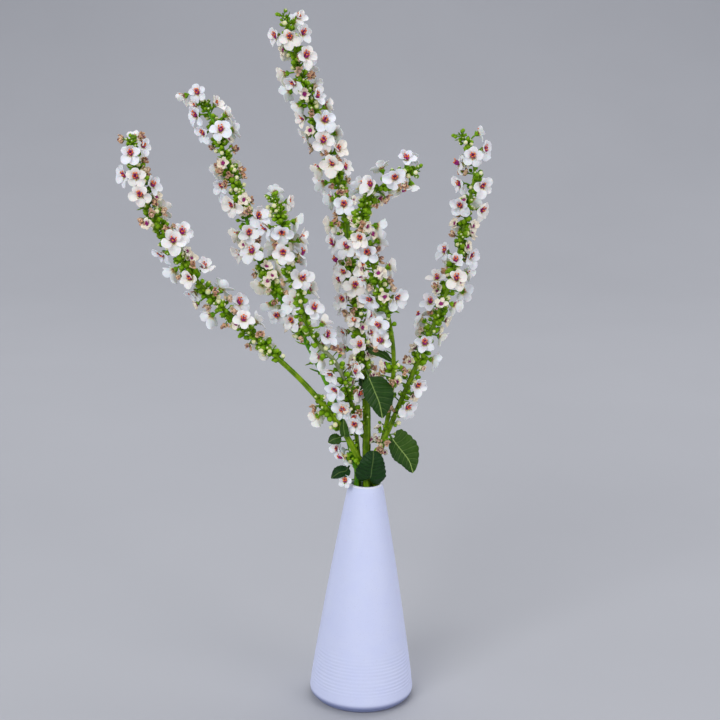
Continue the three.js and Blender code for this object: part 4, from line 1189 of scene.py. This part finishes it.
# ---- Stage, in metres ----
def make_stage():
    """A plain pale floor that curves up behind into a plain backdrop."""
    bend, depth, front, reach, top = 2.2, 1.9, -3.2, 5.5, 4.4
    angles = np.linspace(0, math.pi / 2, 24)
    profile = [(front, 0.0), *((depth + bend * math.sin(a), bend * (1 - math.cos(a))) for a in angles),
               (depth + bend, top)]
    vertices = [(x, y, z) for x in (-reach, reach) for y, z in profile]
    count = len(profile)
    mesh = bpy.data.meshes.new("floor")
    mesh.from_pydata(vertices, [], [(i, count + i, count + i + 1, i + 1) for i in range(count - 1)])
    mesh.shade_smooth()
    mesh.materials.append(floor_look())
    floor = bpy.data.objects.new("floor", mesh)
    bpy.context.scene.collection.objects.link(floor)


# Each light's place, what it aims at, its size, power in watts and colour.
LIGHTS = dict(
    key=((-1.5, -2.6, 2.2), (0, 0, 0.35), 1.8, 59, (0.985, 0.993, 1.0)),
    fill=((2.4, -1.8, 1.3), (0, 0, 0.3), 1.8, 24, (1.0, 0.98, 0.98)),
    over=((0.3, 1.3, 3.0), (0, 0.4, 0.2), 2.6, 36, (1, 1, 1)),
    back_left=((-2.3, 1.9, 1.2), (0, 0, 0.35), 1.6, 9, (1, 1, 1)),
    back_right=((2.3, 1.9, 1.2), (0, 0, 0.35), 1.6, 9, (1, 1, 1)),
)
STUDIO_COLOUR, STUDIO_STRENGTH = (214, 218, 228), 0.5


def make_lights():
    for name, (at, aim, size, power, colour) in LIGHTS.items():
        data = bpy.data.lights.new(name, "AREA")
        data.shape, data.size, data.energy, data.color = "SQUARE", size, power, colour
        light = bpy.data.objects.new(name, data)
        bpy.context.scene.collection.objects.link(light)
        light.location = at
        light.rotation_euler = (Vector(aim) - Vector(at)).to_track_quat("-Z", "Y").to_euler()
    world = bpy.data.worlds.new("studio")
    world.use_nodes = True
    background = world.node_tree.nodes["Background"]
    background.inputs["Color"].default_value = (*tone(*STUDIO_COLOUR), 1)
    background.inputs["Strength"].default_value = STUDIO_STRENGTH
    bpy.context.scene.world = world


# ---- The object ----
make_camera()
make_stage()
make_lights()
bpy.context.scene.view_settings.view_transform = "Standard"

growth_looks = dict(petals=petal_look(), faded=faded_look(), wool=wool_look(), anthers=anther_look(),
                    greens=green_look(), buds=bud_look())
deep_green = stem_look("stem_green", (78, 116, 0), (126, 160, 8))
stem_looks = {
    "stem_left": stem_look("stem_bright", (48, 122, 4), (104, 172, 22)),
    "stem_tall": stem_look("stem_deep", (62, 98, 0), (104, 140, 8)),
    "stem_short_left": stem_look("stem_twig", (66, 106, 2), (110, 144, 12), twig=(298, 326)),
}
for stem in STEMS:
    node = stem["name"]
    dress = Dress(stem["seed"])
    dress.grow(growths_of(stem, Course(stem["path"], 2)))
    dress.grow_stem(stem)
    for part, look in dict(growth_looks, stem=stem_looks.get(node, deep_green)).items():
        name = node.removeprefix("stem_") + "_" + part
        getattr(dress, part).piece(name, look, "flowering_stem", node, sharp=80)

leaf_material = leaf_look()
for leaf in LEAVES:
    leaf_skin(leaf).piece(leaf["name"] + "_blade", leaf_material, "leaf", leaf["name"], sharp=60)

vase_skin().piece("vase_body", ceramic_look(), "vase", "vase", sharp=50)
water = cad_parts["water"]
water.data.materials.clear()
water.data.materials.append(water_look())
